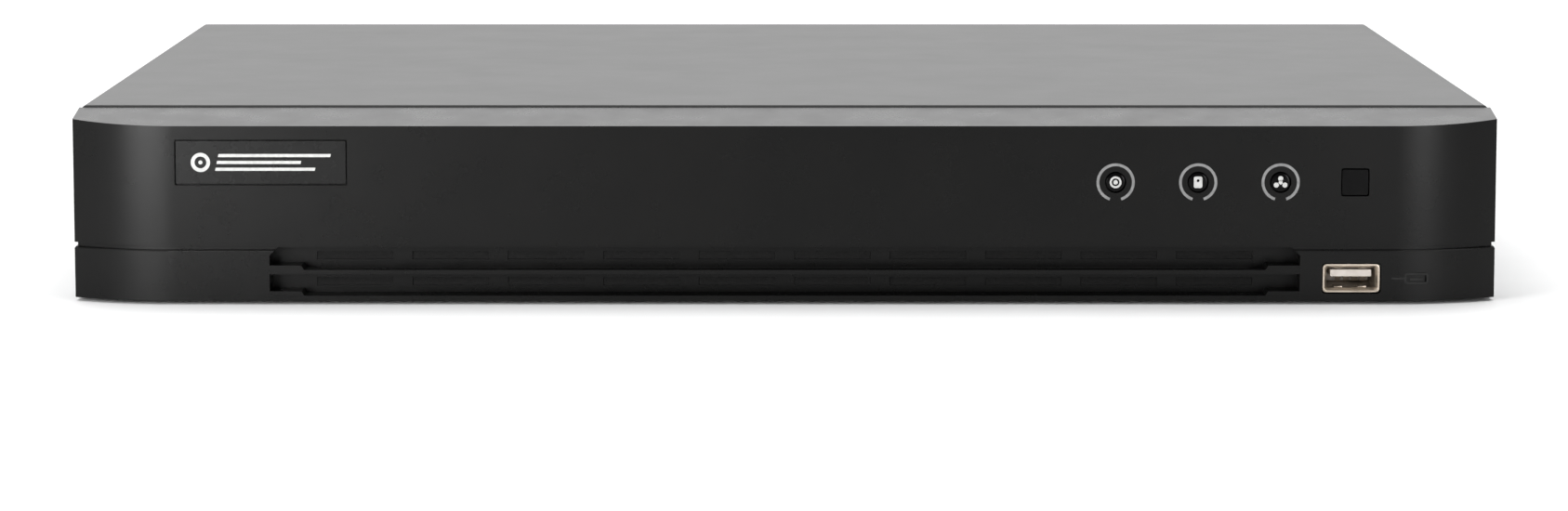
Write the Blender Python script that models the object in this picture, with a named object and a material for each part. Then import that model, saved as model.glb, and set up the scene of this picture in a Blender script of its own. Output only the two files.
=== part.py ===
"""A thirty-two channel video recorder: a low steel case with a plastic front, two rows of
camera sockets on the back, and the boards, disk drive and fan that it holds inside.

Sizes are in millimetres and the scene is in metres. The front faces -Y, +Z is up, and the origin
lies under the middle of the recorder, on the surface it stands on.
"""

import math

import bmesh
import bpy
from mathutils import Matrix, Vector

MM = 0.001
X, Y, Z = Vector((1, 0, 0)), Vector((0, 1, 0)), Vector((0, 0, 1))

# Overall size
WIDTH = 385.0
DEPTH = 315.0
HEIGHT = 52.0

# Clearances and stock
GAP = 0.3  # between pieces that rest on each other
SHEET = 1.0  # steel sheet of the case
BOARD = 1.6  # printed circuit boards
CUTTER_SPARE = 3.0  # how far a cutter runs past the wall it cuts

# Front bezel
BEZEL_DEPTH = 21.5
BEZEL_BOTTOM = 1.0
BEZEL_WALL = 2.2
BEZEL_END_LENGTH = 28.0  # how far in from each end the front starts to curve back
BEZEL_END_RECESS = 8.0  # how far back each end lies
BEZEL_END_POINTS = 7
BEZEL_TOP_SLOPE = 2.3  # fall of the bezel's top from the seam to the front edge
GROOVE_Z = 14.9
GROOVE_HEIGHT = 1.2
GROOVE_DEPTH = 0.8
VENT_HALF = 138.9
VENT_DEPTH = 8.0
VENT_BOTTOM = 2.4
VENT_BACK_WALL = 1.6
VENT_BLADE_Z = 8.2
VENT_BLADE_THICKNESS = 1.2
VENT_BLADE_SETBACK = 1.0
VENT_BLADE_DEPTH = 3.6  # in the middle, where it stands clear of the back wall
VENT_BLADE_TAPER = 4.0
VENT_END_LENGTH = 9.5
VENT_SLOTS = 10
VENT_SLOT_HEIGHT = 2.2
VENT_SLOT_SHARE = 0.8  # of the slot pitch that is open

# Things on the front, measured from the middle and from the ground or the bezel's top edge
BADGE_X, BADGE_DROP = -140.9, 9.8
BADGE_WIDTH, BADGE_HEIGHT, BADGE_THICKNESS = 45.8, 11.8, 0.6
INDICATOR_X = (89.0, 111.2, 133.4)
INDICATOR_DROP = 15.2
INDICATOR_RADIUS = 2.6
LENS_SIDES = 16
WINDOW_X, WINDOW_SIZE, WINDOW_FLANGE = 153.5, 7.0, 1.0
FRONT_USB_X, FRONT_USB_Z = 152.8, 7.1
USB_SHELL = (13.9, 6.2)
USB_WALL = 0.4
USB_TONGUE = (11.1, 1.9)
USB_ROOT = 2.0  # the block at the back of the socket that carries the tongue
USB_TONGUE_DROP = 1.2  # tongue below the pocket's top

# Cover
COVER_INSET = 0.5  # each side, inside the bezel's end
COVER_BOTTOM = 7.2
COVER_LAP = 1.6  # cover over the bezel's lip
COVER_FLANGE_TOP = 4.7
COVER_FLANGE_SIDE = 3.7
TOP_TAB_X = 91.0
SIDE_TAB_Z = 27.0
TAB_REACH = 3.9
TAB_ROOT, TAB_TIP = 11.0, 5.0
TAB_SCREW_INSET = 5.0  # screws in from the cover's outer face
FLANGE_NOTCH_X = (-178.7, -116.2)
FLANGE_NOTCH_WIDTH = 8.7
COVER_ROUNDING = 1.2
SIDE_VENT_SLOTS = 12
SIDE_VENT_PITCH = 7.0
SIDE_VENT_WIDTH = 2.6
SIDE_VENT_HEIGHT = 20.0
SIDE_VENT_START = -90.0

# Chassis
FOOT_HEIGHT = 2.7
FOOT_RADIUS = 9.0
FOOT_INSET_X = 27.0
FOOT_INSET_FRONT = 47.0
FOOT_INSET_REAR = 25.0
FLANGE_HEIGHT = 9.0
CORNER_RADIUS = 3.5
STANDOFF_HEIGHT = 4.1
STANDOFF_RADIUS = 3.0
STANDOFF_X = (-178.0, -60.0, 60.0, 178.0)
PAD_HEIGHT = 2.0
PAD_RADIUS = 5.0
WALL_SLOTS = 8
WALL_SLOT = (20.0, 5.0)
WALL_SLOT_PITCH = 30.0
WALL_SLOT_Z = 11.0
RIBBON_HOLE = (24.0, 10.0)

# Screws
SCREW_RADIUS = 1.4
SCREW_CLEARANCE = 0.3
SCREW_HEAD_RADIUS = 2.8
SCREW_HEAD_HEIGHT = 1.8
SCREW_LENGTH = 6.0
GROUND_HEAD_RADIUS = 3.5
GROUND_X, GROUND_Z = -181.0, 38.0

# Camera sockets
SOCKET_REACH = 17.5  # connector tips, beyond the rear panel
SOCKET_PITCH = 15.24
SOCKET_COLUMNS = 16
SOCKET_BLOCKS = 4
SOCKET_FIRST_X = 171.6
SOCKET_ABOVE_BOARD = 8.95
SOCKET_BARREL = 4.8
SOCKET_BORE = 4.05
SOCKET_BORE_DEPTH = 10.5
SOCKET_NECK = 5.9
SOCKET_NECK_HEIGHT = 1.9
SOCKET_CASTING_DEPTH = 12.0
SOCKET_CORE = 2.3
SOCKET_CORE_SETBACK = 1.5
SOCKET_CARRIER_DEPTH = 6.0
SOCKET_TOP_SPARE = 8.3  # casting above the middle of the upper row
SOCKET_SIDES = 10
CORE_SIDES = 8
VIDEO_OUT_X, VIDEO_OUT_RISE = -156.0, 24.2
VIDEO_OUT_HALF = 7.2
VIDEO_OUT_LEG = 5.0

# Audio sockets
AUDIO_X = -74.3
AUDIO_ABOVE_BOARD = 8.1
AUDIO_PITCH = 14.3
AUDIO_HOUSING_HALF = 6.6
AUDIO_HOUSING_DEPTH = 12.0
AUDIO_NECK, AUDIO_NECK_HEIGHT = 5.3, 1.8
AUDIO_BARREL = 4.4
AUDIO_WALL = 0.4
AUDIO_INSERT_HOLE = 1.6
AUDIO_INSERT_SETBACK = 0.6
AUDIO_INSERT_FLOOR = 1.0
AUDIO_REACH = 10.0
AUDIO_SIDES = 16

# Analogue monitor socket
VGA_X, VGA_RISE = -109.4, 24.2
VGA_SHELL = (16.9, 8.3)
VGA_SLANT = 1.6  # how much each end of the shell leans in towards the bottom
VGA_WALL = 0.5
VGA_REACH = 6.0
VGA_FLANGE = (31.0, 12.4)
VGA_SCREW_SPACING = 25.0
VGA_PLATE = 0.8
VGA_BODY_DEPTH = 11.0
VGA_INSERT_SETBACK = 0.8
VGA_LEGS = ((-15.0, 4.6), (0.9, 5.5))  # x from the middle, width
JACKSCREW_RADIUS = 2.7
JACKSCREW_REACH = 5.0

# Digital monitor socket
DIGITAL_X = -94.3
DIGITAL_SHELL = (15.4, 5.6)
DIGITAL_WALL = 0.4
DIGITAL_CORNER = 1.9
DIGITAL_DEPTH = 12.0
DIGITAL_REACH = 0.8
DIGITAL_TONGUE = (11.4, 1.3)

# Two-pole wire terminal
TERMINAL_X = -115.6  # the line between its tall part and its low part
TERMINAL_TALL, TERMINAL_LOW = 5.6, 3.2
TERMINAL_HEIGHT = 14.0
TERMINAL_STEP = 2.6
TERMINAL_REACH = 3.2
TERMINAL_DEPTH = 15.0
TERMINAL_POLE_PITCH = 2.3
TERMINAL_BUTTON = (2.0, 3.2)
TERMINAL_BUTTON_LENGTH = 7.0
TERMINAL_BUTTON_PROUD = 0.4
TERMINAL_TRAVEL = 1.5
TERMINAL_BUTTON_DROP = 2.3  # middle of the buttons, below the block's top
TERMINAL_WIRE_DROP = 6.4  # wire holes, below the block's top
TERMINAL_WIRE_RADIUS = 0.9
TERMINAL_WIRE_DEPTH = 8.0

# Network socket over two USB sockets
STACK_X = -139.0
STACK_WIDTH, STACK_HEIGHT = 17.4, 32.2
STACK_WALL = 0.6
STACK_REACH = 0.8
STACK_DEPTH = 22.0
NETWORK_FLOOR = 18.0  # of the network socket's pocket, above the stack's bottom
NETWORK_OPENING = (12.6, 7.8)
NETWORK_SILL = 1.3
NETWORK_NOTCHES = ((6.0, 1.6), (4.2, 1.4))  # width and height of the steps over the opening
NETWORK_SETBACK = 0.3
NETWORK_DEPTH = 13.0
NETWORK_BACK_WALL = 2.0
REAR_USB_Z = (4.2, 13.1)  # above the stack's bottom
REAR_USB_OPENING = (13.2, 5.4)
REAR_USB_DEPTH = 12.5

# Power socket
POWER_X = -159.6
POWER_WIDTH, POWER_HEIGHT, POWER_DEPTH = 10.0, 11.3, 14.0
POWER_REACH = 1.6
POWER_RISE = 6.0  # middle of the bore, above its base
POWER_BORE, POWER_BORE_DEPTH = 3.2, 9.5
POWER_PIN, POWER_PIN_SETBACK = 1.05, 1.0

# Boards
MAIN_BOARD_HALF = 186.0
MAIN_BOARD_DEPTH = 108.0
MAIN_BOARD_MARGIN = 0.5
CHIP_X, CHIP_INSET = 20.0, 44.5  # in from the main board's front edge, as the next ones are
CHIP_SIDE, CHIP_HEIGHT = 30.0, 1.6
FRONT_BOARD_X = (76.0, 172.0)
FRONT_BOARD_Z = (5.0, 40.0)
FRONT_BOARD_SETBACK = 17.5  # its front face, behind the bezel's front
POST_RADIUS, POST_INSET, POST_LOW_Z = 2.4, 4.0, 23.0
RIBBON_X, RIBBON_WIDTH, RIBBON_THICKNESS = 158.0, 16.0, 0.9
RIBBON_FRONT_Z = 22.0
RIBBON_RISE = 2.6  # middle of the ribbon's end, above the board
HEADER_HEIGHT, HEADER_DEPTH = 5.0, 8.0
HEADER_SIDE = 1.5  # header beyond the ribbon, each side
RIBBON_HEADER_INSET = 4.0
BATTERY_X, BATTERY_INSET, BATTERY_RADIUS, BATTERY_HEIGHT = 90.0, 31.5, 10.0, 3.2

# Disk drive
DRIVE_X = -91.5
DRIVE_SETBACK = 6.1  # behind the chassis's front wall
DRIVE_LENGTH, DRIVE_WIDTH, DRIVE_HEIGHT = 147.0, 101.6, 26.1
DRIVE_LID = 1.6
DRIVE_FLOOR = 4.7
DRIVE_RECESS = 2.4
DRIVE_PAD = (60.0, 44.0)
DRIVE_BOARD = (82.0, 76.0)
DRIVE_PLUG = (6.0, 47.0, 6.5)
DRIVE_CAVITY_X = (20.0, 83.0)  # of the arm's part of the cavity, from the spindle
DRIVE_CAVITY_HALF = 45.0
PLATTER_RADIUS, PLATTER_THICKNESS, PLATTER_PITCH = 47.5, 1.3, 4.0
PLATTER_CLEARANCE = 1.2
PLATTER_FIRST_Z = 3.4
PLATTER_SIDES = 24
PLATTER_OFFSET_X = -21.0
SPINDLE_RADIUS, HUB_RADIUS, HUB_HEIGHT = 5.0, 12.5, 12.0
PIVOT_OFFSET = (35.0, -21.8)
PIVOT_RADIUS, PIVOT_HUB = 2.5, 7.0
ARM_LENGTH, ARM_THICKNESS, ARM_TIP_WIDTH = 50.0, 1.0, 4.0
ARM_PARK_DEG = 106.8
ARM_ABOVE_PLATTER = 0.85
PIVOT_HEIGHT = 13.5
SPINDLE_SIDES, PIVOT_SIDES = 16, 12
COIL_REACH, COIL_WIDTH = 19.0, 15.0

# Cooling
SINK_SIDE, SINK_BASE, SINK_HEIGHT = 44.0, 3.0, 13.0
SINK_FINS, SINK_FIN = 8, 1.4
FAN_SIDE, FAN_HEIGHT, FAN_BORE = 40.0, 10.0, 19.0
FAN_HUB_BASE, FAN_HUB_THICKNESS = 8.0, 1.6
FAN_SHAFT = 1.3
FAN_STRUTS, FAN_STRUT = 4, 2.2
ROTOR_HUB, ROTOR_WALL, ROTOR_TIP = 9.0, 1.4, 18.0
ROTOR_SLEEVE = 3.0
ROTOR_SIDES = 18
ROTOR_CLEARANCE = 0.5
ROTOR_BLADES, ROTOR_BLADE = 7, 1.0
ROTOR_BLADE_CHORD = 8.5
ROTOR_PITCH_DEG = 38.0

# Drive cable
CABLE_RADIUS = 1.6
CABLE_POINT_SPACING = 7.0
CABLE_HEADER_X, CABLE_HEADER_INSET = -10.0, 9.5
CABLE_HEADER_WIDTH = 12.0
CABLE_RISE = 3.0  # middle of the lead's end, above the board

# What follows from the sizes above
FRONT_Y = -DEPTH / 2
PANEL_Y = DEPTH / 2 - SOCKET_REACH  # outer face of the rear panel
PANEL_IN_Y = PANEL_Y - SHEET
SEAM_Y = FRONT_Y + BEZEL_DEPTH
LIP_Y = SEAM_Y + COVER_LAP
WALL_Y = LIP_Y + GAP  # front face of the chassis wall
COVER_HALF = WIDTH / 2 - COVER_INSET
CHASSIS_HALF = COVER_HALF - SHEET - GAP  # also the half width of the bezel's lip
COVER_IN_Z = HEIGHT - SHEET
CASE_TOP = COVER_IN_Z - GAP  # chassis walls and bezel lip, under the cover
FLOOR_Z = FOOT_HEIGHT + GAP
FLOOR_TOP = FLOOR_Z + SHEET
BOARD_Z = FLOOR_TOP + STANDOFF_HEIGHT + GAP
BOARD_TOP = BOARD_Z + BOARD
SEAT_Z = BOARD_TOP + GAP  # connectors on the main board
MAIN_BOARD_REAR = PANEL_IN_Y - MAIN_BOARD_MARGIN
MAIN_BOARD_FRONT = MAIN_BOARD_REAR - MAIN_BOARD_DEPTH
BEZEL_FRONT_TOP = CASE_TOP - BEZEL_TOP_SLOPE
SOCKET_LOW_Z = BOARD_TOP + SOCKET_ABOVE_BOARD
SOCKET_HIGH_Z = SOCKET_LOW_Z + SOCKET_PITCH
AUDIO_LOW_Z = BOARD_TOP + AUDIO_ABOVE_BOARD
AUDIO_HIGH_Z = AUDIO_LOW_Z + AUDIO_PITCH
FRONT_BOARD_Y = FRONT_Y + FRONT_BOARD_SETBACK
INDICATOR_Z = BEZEL_FRONT_TOP - INDICATOR_DROP
BADGE_Z = BEZEL_FRONT_TOP - BADGE_DROP
TAB_SCREW_Z = HEIGHT - TAB_SCREW_INSET
SIDE_SCREW_X = COVER_HALF - TAB_SCREW_INSET
DRIVE_Z = FLOOR_TOP + PAD_HEIGHT + GAP
DRIVE_Y = WALL_Y + SHEET + DRIVE_SETBACK + DRIVE_WIDTH / 2
SPINDLE_AT = (DRIVE_X + PLATTER_OFFSET_X, DRIVE_Y)
PIVOT_AT = (DRIVE_X + PIVOT_OFFSET[0], DRIVE_Y + PIVOT_OFFSET[1])
DRIVE_IN_Z = DRIVE_Z + DRIVE_FLOOR
SINK_Z = BOARD_TOP + CHIP_HEIGHT + GAP
FAN_Z = SINK_Z + SINK_HEIGHT + GAP
VIDEO_OUT_Z = SEAT_Z + VIDEO_OUT_RISE
VGA_Z = SEAT_Z + VGA_RISE
CHIP_Y = MAIN_BOARD_FRONT + CHIP_INSET
RIBBON_HEADER_Y = MAIN_BOARD_FRONT + RIBBON_HEADER_INSET
RIBBON_REAR_Z = BOARD_TOP + RIBBON_RISE
BATTERY_Y = MAIN_BOARD_FRONT + BATTERY_INSET
CABLE_HEADER = (CABLE_HEADER_X, MAIN_BOARD_FRONT + CABLE_HEADER_INSET)
CABLE_END_Z = BOARD_TOP + CABLE_RISE
STACK_Z = SEAT_Z
DIGITAL_Z = SEAT_Z + DIGITAL_SHELL[1] / 2
TERMINAL_TOP = SEAT_Z + TERMINAL_HEIGHT
POWER_Z = SEAT_Z + POWER_RISE


# Materials -------------------------------------------------------------------------------------

COLOURS = {  # colour, roughness, metallic
    "black_paint": ((0.035, 0.036, 0.036), 0.45, 0.0),
    "black_plastic": ((0.022, 0.022, 0.022), 0.3, 0.0),
    "smoked_plastic": ((0.008, 0.008, 0.009), 0.1, 0.0),
    "panel_steel": ((0.62, 0.66, 0.65), 0.45, 0.3),
    "connector_metal": ((0.55, 0.52, 0.42), 0.28, 1.0),
    "bright_metal": ((0.75, 0.75, 0.74), 0.25, 1.0),
    "white_plastic": ((0.85, 0.82, 0.72), 0.45, 0.0),
    "red_plastic": ((0.75, 0.05, 0.04), 0.4, 0.0),
    "blue_plastic": ((0.05, 0.32, 0.75), 0.4, 0.0),
    "green_plastic": ((0.2, 0.5, 0.12), 0.45, 0.0),
    "orange_plastic": ((0.95, 0.28, 0.06), 0.4, 0.0),
    "board_green": ((0.02, 0.16, 0.07), 0.5, 0.0),
    "rubber": ((0.03, 0.03, 0.03), 0.85, 0.0),
    "cast_aluminium": ((0.5, 0.51, 0.52), 0.5, 1.0),
    "cable_red": ((0.55, 0.04, 0.03), 0.5, 0.0),
    "ribbon_grey": ((0.55, 0.55, 0.54), 0.6, 0.0),
}


def material(name):
    """The named material, made the first time it is asked for."""
    found = bpy.data.materials.get(name)
    if found:
        return found
    colour, roughness, metallic = COLOURS[name]
    made = bpy.data.materials.new(name)
    made.use_nodes = True
    shader = made.node_tree.nodes["Principled BSDF"]
    shader.inputs["Base Color"].default_value = (*colour, 1)
    shader.inputs["Roughness"].default_value = roughness
    shader.inputs["Metallic"].default_value = metallic
    return made


# Shapes ----------------------------------------------------------------------------------------


def block(x, y, z):
    """A box over the ranges x, y and z, each a pair of ends."""
    shape = bmesh.new()
    centre = Vector([(ends[0] + ends[1]) / 2 for ends in (x, y, z)])
    size = Vector([abs(ends[1] - ends[0]) for ends in (x, y, z)])
    bmesh.ops.create_cube(shape, size=1, matrix=Matrix.Translation(centre) @ Matrix.Diagonal(size).to_4x4())
    return shape


def centred(width, depth, height, at=(0, 0, 0)):
    """A box of a size, centred on a point."""
    spans = [(c - s / 2, c + s / 2) for c, s in zip(at, (width, depth, height))]
    return block(*spans)


def prism(outline, ends, axis=Z):
    """A flat outline extruded along an axis.

    Its points are (x, y) along Z, (x, z) along Y and (y, z) along X.
    """
    place = {
        tuple(Z): lambda p, q, along: (p, q, along),
        tuple(Y): lambda p, q, along: (p, along, q),
        tuple(X): lambda p, q, along: (along, p, q),
    }[tuple(axis)]
    shape = bmesh.new()
    face = shape.faces.new([shape.verts.new(place(p, q, ends[0])) for p, q in outline])
    grown = bmesh.ops.extrude_face_region(shape, geom=[face])
    moved = [item for item in grown["geom"] if isinstance(item, bmesh.types.BMVert)]
    bmesh.ops.translate(shape, verts=moved, vec=axis * (ends[1] - ends[0]))
    bmesh.ops.recalc_face_normals(shape, faces=shape.faces)
    return shape


def turned(profile, sides, at=(0, 0, 0), axis=Z):
    """A closed profile of (radius, distance along the axis) spun round that axis."""
    shape = bmesh.new()
    points = [shape.verts.new((radius, 0, along)) for radius, along in profile]
    edges = [shape.edges.new((a, b)) for a, b in zip(points, points[1:] + points[:1])]
    bmesh.ops.spin(
        shape, geom=points + edges, cent=(0, 0, 0), axis=Z, angle=math.tau, steps=sides, use_merge=True
    )
    bmesh.ops.remove_doubles(shape, verts=shape.verts, dist=1e-4)
    bmesh.ops.dissolve_degenerate(shape, edges=shape.edges, dist=1e-4)
    on_axis = [e for e in shape.edges if not e.link_faces]
    bmesh.ops.delete(shape, geom=on_axis, context="EDGES")
    turn = Z.rotation_difference(axis).to_matrix().to_4x4()
    bmesh.ops.transform(shape, matrix=Matrix.Translation(at) @ turn, verts=shape.verts)
    bmesh.ops.recalc_face_normals(shape, faces=shape.faces)
    return shape


def rod(radius, ends, at=(0, 0), axis=Z, sides=12):
    """A solid cylinder between two distances along an axis, through a point of the plane across it."""
    places = {tuple(Z): (at[0], at[1], 0), tuple(Y): (at[0], 0, at[1]), tuple(X): (0, at[0], at[1])}
    profile = [(0, ends[0]), (radius, ends[0]), (radius, ends[1]), (0, ends[1])]
    return turned(profile, sides, places[tuple(axis)], axis)


def turned_by(shape, degrees, about=(0, 0, 0), axis=Z):
    """The shape, turned about a line through a point."""
    turn = Matrix.Rotation(math.radians(degrees), 3, axis)
    bmesh.ops.rotate(shape, verts=shape.verts, cent=about, matrix=turn)
    return shape


def arc(centre, radius, start, end, points):
    """Points along an arc, in degrees."""
    steps = [math.radians(start + (end - start) * i / (points - 1)) for i in range(points)]
    return [(centre[0] + radius * math.cos(a), centre[1] + radius * math.sin(a)) for a in steps]


def smooth_route(points, spacing):
    """Points about a spacing apart on a smooth curve through the given ones."""
    points = [Vector(p) for p in points]
    padded = [2 * points[0] - points[1], *points, 2 * points[-1] - points[-2]]
    route = []
    for before, start, end, after in zip(padded, padded[1:], padded[2:], padded[3:]):
        steps = max(2, round((end - start).length / spacing))
        for i in range(steps):
            t = i / steps
            curve = (
                2 * start
                + (end - before) * t
                + (2 * before - 5 * start + 4 * end - after) * t**2
                + (3 * start - before - 3 * end + after) * t**3
            )
            route.append(curve / 2)
    return route + [points[-1]]


# Nodes -----------------------------------------------------------------------------------------


def mesh_of(name, shape):
    """A mesh in metres from a shape in millimetres."""
    bmesh.ops.scale(shape, vec=(MM, MM, MM), verts=shape.verts)
    mesh = bpy.data.meshes.new(name)
    shape.to_mesh(mesh)
    shape.free()
    return mesh


def join(*shapes):
    """A stage that joins shapes to a piece."""
    return "UNION", shapes


def cut(*shapes):
    """A stage that takes shapes away from a piece."""
    return "DIFFERENCE", shapes


def node(name, finish, body, *stages, at=(0, 0, 0)):
    """One named piece: a body, changed by its stages in turn.

    The shapes are drawn about the point at, which becomes the object's origin.
    """
    mesh = mesh_of(name, body)
    mesh.materials.append(material(finish))
    made = bpy.data.objects.new(name, mesh)
    made.location = Vector(at) * MM
    bpy.context.scene.collection.objects.link(made)
    for number, (operation, shapes) in enumerate(stages):
        label = f"{name}_stage_{number}"
        collection = bpy.data.collections.new(label)
        bpy.context.scene.collection.children.link(collection)
        for index, shape in enumerate(shapes):
            helper = bpy.data.objects.new(f"{label}_{index}", mesh_of(label, shape))
            helper.location = Vector(at) * MM
            helper.hide_render = True
            helper.display_type = "WIRE"
            collection.objects.link(helper)
        modifier = made.modifiers.new(label, "BOOLEAN")
        modifier.operation = operation
        modifier.solver = "EXACT"
        modifier.operand_type = "COLLECTION"
        modifier.collection = collection
    return made


# Front -----------------------------------------------------------------------------------------


def bezel_outline(inset, back_y):
    """The bezel seen from above, with its curved ends, moved in by inset and cut off at back_y."""
    half = WIDTH / 2 - inset
    front = FRONT_Y + inset
    radius = (BEZEL_END_LENGTH**2 + BEZEL_END_RECESS**2) / (2 * BEZEL_END_RECESS)
    curve = []
    for i in range(BEZEL_END_POINTS):
        reach = BEZEL_END_LENGTH * i / (BEZEL_END_POINTS - 1)
        curve.append((half - BEZEL_END_LENGTH + reach, front + radius - math.sqrt(radius**2 - reach**2)))
    right = [*curve, (half, back_y)]
    return [(-x, y) for x, y in reversed(right)] + right


def sloped_solid(outline, bottom, drop):
    """The outline stood up from bottom to the bezel's sloping top, lowered by drop."""
    shape = prism(outline, (bottom, HEIGHT))
    slope = BEZEL_TOP_SLOPE / (LIP_Y - FRONT_Y)
    for corner in shape.verts:
        if corner.co.z > HEIGHT - GAP:
            corner.co.z = BEZEL_FRONT_TOP + (corner.co.y - FRONT_Y) * slope - drop
    return shape


def vent_blade():
    """The blade across the vent: narrow in the middle and full depth at its ends."""
    front = FRONT_Y + VENT_BLADE_SETBACK
    back = FRONT_Y + VENT_DEPTH + VENT_BACK_WALL / 2
    narrow = front + VENT_BLADE_DEPTH
    inner = VENT_HALF - VENT_END_LENGTH
    end = VENT_HALF + BEZEL_WALL / 2
    taper = VENT_BLADE_TAPER
    outline = [(-end, front), (end, front), (end, back), (inner, back), (inner - taper, narrow)]
    outline += [(taper - inner, narrow), (-inner, back), (-end, back)]
    return prism(outline, (VENT_BLADE_Z, VENT_BLADE_Z + VENT_BLADE_THICKNESS))


def front_bezel():
    """The moulded front: a shell open at the back, with a groove, a vent and openings."""
    spare = CUTTER_SPARE
    inside = sloped_solid(bezel_outline(BEZEL_WALL, LIP_Y + spare), BEZEL_BOTTOM + BEZEL_WALL, BEZEL_WALL)
    around, bottom_of_groove = bezel_outline(-spare, SEAM_Y), bezel_outline(GROOVE_DEPTH, SEAM_Y)
    groove = prism(around + bottom_of_groove[::-1], (GROOVE_Z, GROOVE_Z + GROOVE_HEIGHT))
    trims = [
        block((side * CHASSIS_HALF, side * WIDTH), (SEAM_Y - GAP, LIP_Y + spare), (0, HEIGHT))
        for side in (-1, 1)
    ]
    vent_top = GROOVE_Z + GROOVE_HEIGHT / 2
    vent_back = FRONT_Y + VENT_DEPTH
    housing_half = VENT_HALF + BEZEL_WALL
    housing = block(
        (-housing_half, housing_half),
        (FRONT_Y + BEZEL_WALL / 2, vent_back + VENT_BACK_WALL),
        (BEZEL_BOTTOM + BEZEL_WALL / 2, vent_top + VENT_BACK_WALL),
    )
    vent = block((-VENT_HALF, VENT_HALF), (FRONT_Y - spare, vent_back), (VENT_BOTTOM, vent_top))
    post_xs = (FRONT_BOARD_X[0] + POST_INSET, FRONT_BOARD_X[1] - POST_INSET)
    post_zs = (POST_LOW_Z, FRONT_BOARD_Z[1] - POST_INSET)
    post_ends = (FRONT_Y + BEZEL_WALL / 2, FRONT_BOARD_Y - GAP)
    posts = [rod(POST_RADIUS, post_ends, (x, z), Y, 8) for x in post_xs for z in post_zs]
    pitch = 2 * (VENT_HALF - VENT_END_LENGTH) / VENT_SLOTS
    rows = ((VENT_BOTTOM + VENT_BLADE_Z) / 2, (VENT_BLADE_Z + VENT_BLADE_THICKNESS + vent_top) / 2)
    back_wall_y = vent_back + VENT_BACK_WALL / 2
    slots = [
        centred(pitch * VENT_SLOT_SHARE, 2 * VENT_BACK_WALL, VENT_SLOT_HEIGHT, (x, back_wall_y, z))
        for x in [pitch * (i + 0.5 - VENT_SLOTS / 2) for i in range(VENT_SLOTS)]
        for z in rows
    ]
    through = (FRONT_Y - spare, FRONT_Y + BEZEL_WALL + spare)
    lens_hole = (INDICATOR_RADIUS + GAP) / math.cos(math.pi / LENS_SIDES)
    lenses = [rod(lens_hole, through, (x, INDICATOR_Z), Y, LENS_SIDES) for x in INDICATOR_X]
    window = WINDOW_SIZE + 2 * GAP
    usb = [size + 2 * GAP for size in USB_SHELL]
    badge = (BADGE_WIDTH + 2 * GAP, 2 * (BADGE_THICKNESS + GAP), BADGE_HEIGHT + 2 * GAP)
    openings = [
        centred(window, 2 * spare, window, (WINDOW_X, FRONT_Y, INDICATOR_Z)),
        centred(usb[0], 2 * spare, usb[1], (FRONT_USB_X, FRONT_Y, FRONT_USB_Z)),
        centred(*badge, (BADGE_X, FRONT_Y, BADGE_Z)),
    ]
    node(
        "front_bezel",
        "black_plastic",
        sloped_solid(bezel_outline(0, LIP_Y), BEZEL_BOTTOM, 0),
        cut(inside, groove, *trims),
        join(housing, *posts),
        cut(vent),
        join(vent_blade()),
        cut(*slots, *lenses, *openings),
    )


def front_trim():
    """The badge plate, the infrared window and the light guide with its three lenses."""
    face = FRONT_Y + 0.05
    inside = FRONT_Y + BEZEL_WALL + GAP
    back = FRONT_Y + BADGE_THICKNESS
    wide, high = BADGE_WIDTH / 2, BADGE_HEIGHT / 2
    plate = block((-wide, wide), (face - back, 0), (-high, high))
    node("badge_plate", "smoked_plastic", plate, at=(BADGE_X, back, BADGE_Z))

    half, rim = WINDOW_SIZE / 2, WINDOW_SIZE / 2 + WINDOW_FLANGE
    pane = block((-half, half), (face - inside, 0.5), (-half, half))
    flange = block((-rim, rim), (0, WINDOW_FLANGE), (-rim, rim))
    node("infrared_window", "smoked_plastic", pane, join(flange), at=(WINDOW_X, inside, INDICATOR_Z))

    bar = INDICATOR_RADIUS + 1.0
    centre = INDICATOR_X[1]
    guide = block((INDICATOR_X[0] - centre - bar, INDICATOR_X[2] - centre + bar), (0, 2.0), (-bar, bar))
    ends = (face - inside, 1.0)
    lenses = [rod(INDICATOR_RADIUS, ends, (x - centre, 0), Y, LENS_SIDES) for x in INDICATOR_X]
    node("indicator_light_guide", "smoked_plastic", guide, join(*lenses), at=(centre, inside, INDICATOR_Z))


def front_electronics():
    """The board behind the bezel, with its lamps, receiver and header, and its USB socket."""
    lamps = [centred(3, 2.4, 3, (x, FRONT_BOARD_Y - 0.8, INDICATOR_Z)) for x in INDICATOR_X]
    receiver = centred(6, 12, 6, (WINDOW_X, FRONT_BOARD_Y, INDICATOR_Z))
    half = RIBBON_WIDTH / 2 + HEADER_SIDE
    rise = HEADER_HEIGHT / 2
    header = block(
        (RIBBON_X - half, RIBBON_X + half),
        (FRONT_BOARD_Y + BOARD / 2, WALL_Y - 2 * GAP),
        (RIBBON_FRONT_Z - rise, RIBBON_FRONT_Z + rise),
    )
    board = block(FRONT_BOARD_X, (FRONT_BOARD_Y, FRONT_BOARD_Y + BOARD), FRONT_BOARD_Z)
    behind = block(FRONT_BOARD_X, (FRONT_BOARD_Y + BOARD, 0), (RIBBON_FRONT_Z + rise + 1, HEIGHT))
    node("front_board", "board_green", board, join(*lamps, receiver), cut(behind), join(header))
    back = FRONT_BOARD_Y - GAP
    at = (FRONT_USB_X, back, FRONT_USB_Z)
    usb_socket("front_usb", USB_SHELL, FRONT_Y + 0.6 - back, 0, at, "white_plastic")


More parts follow.
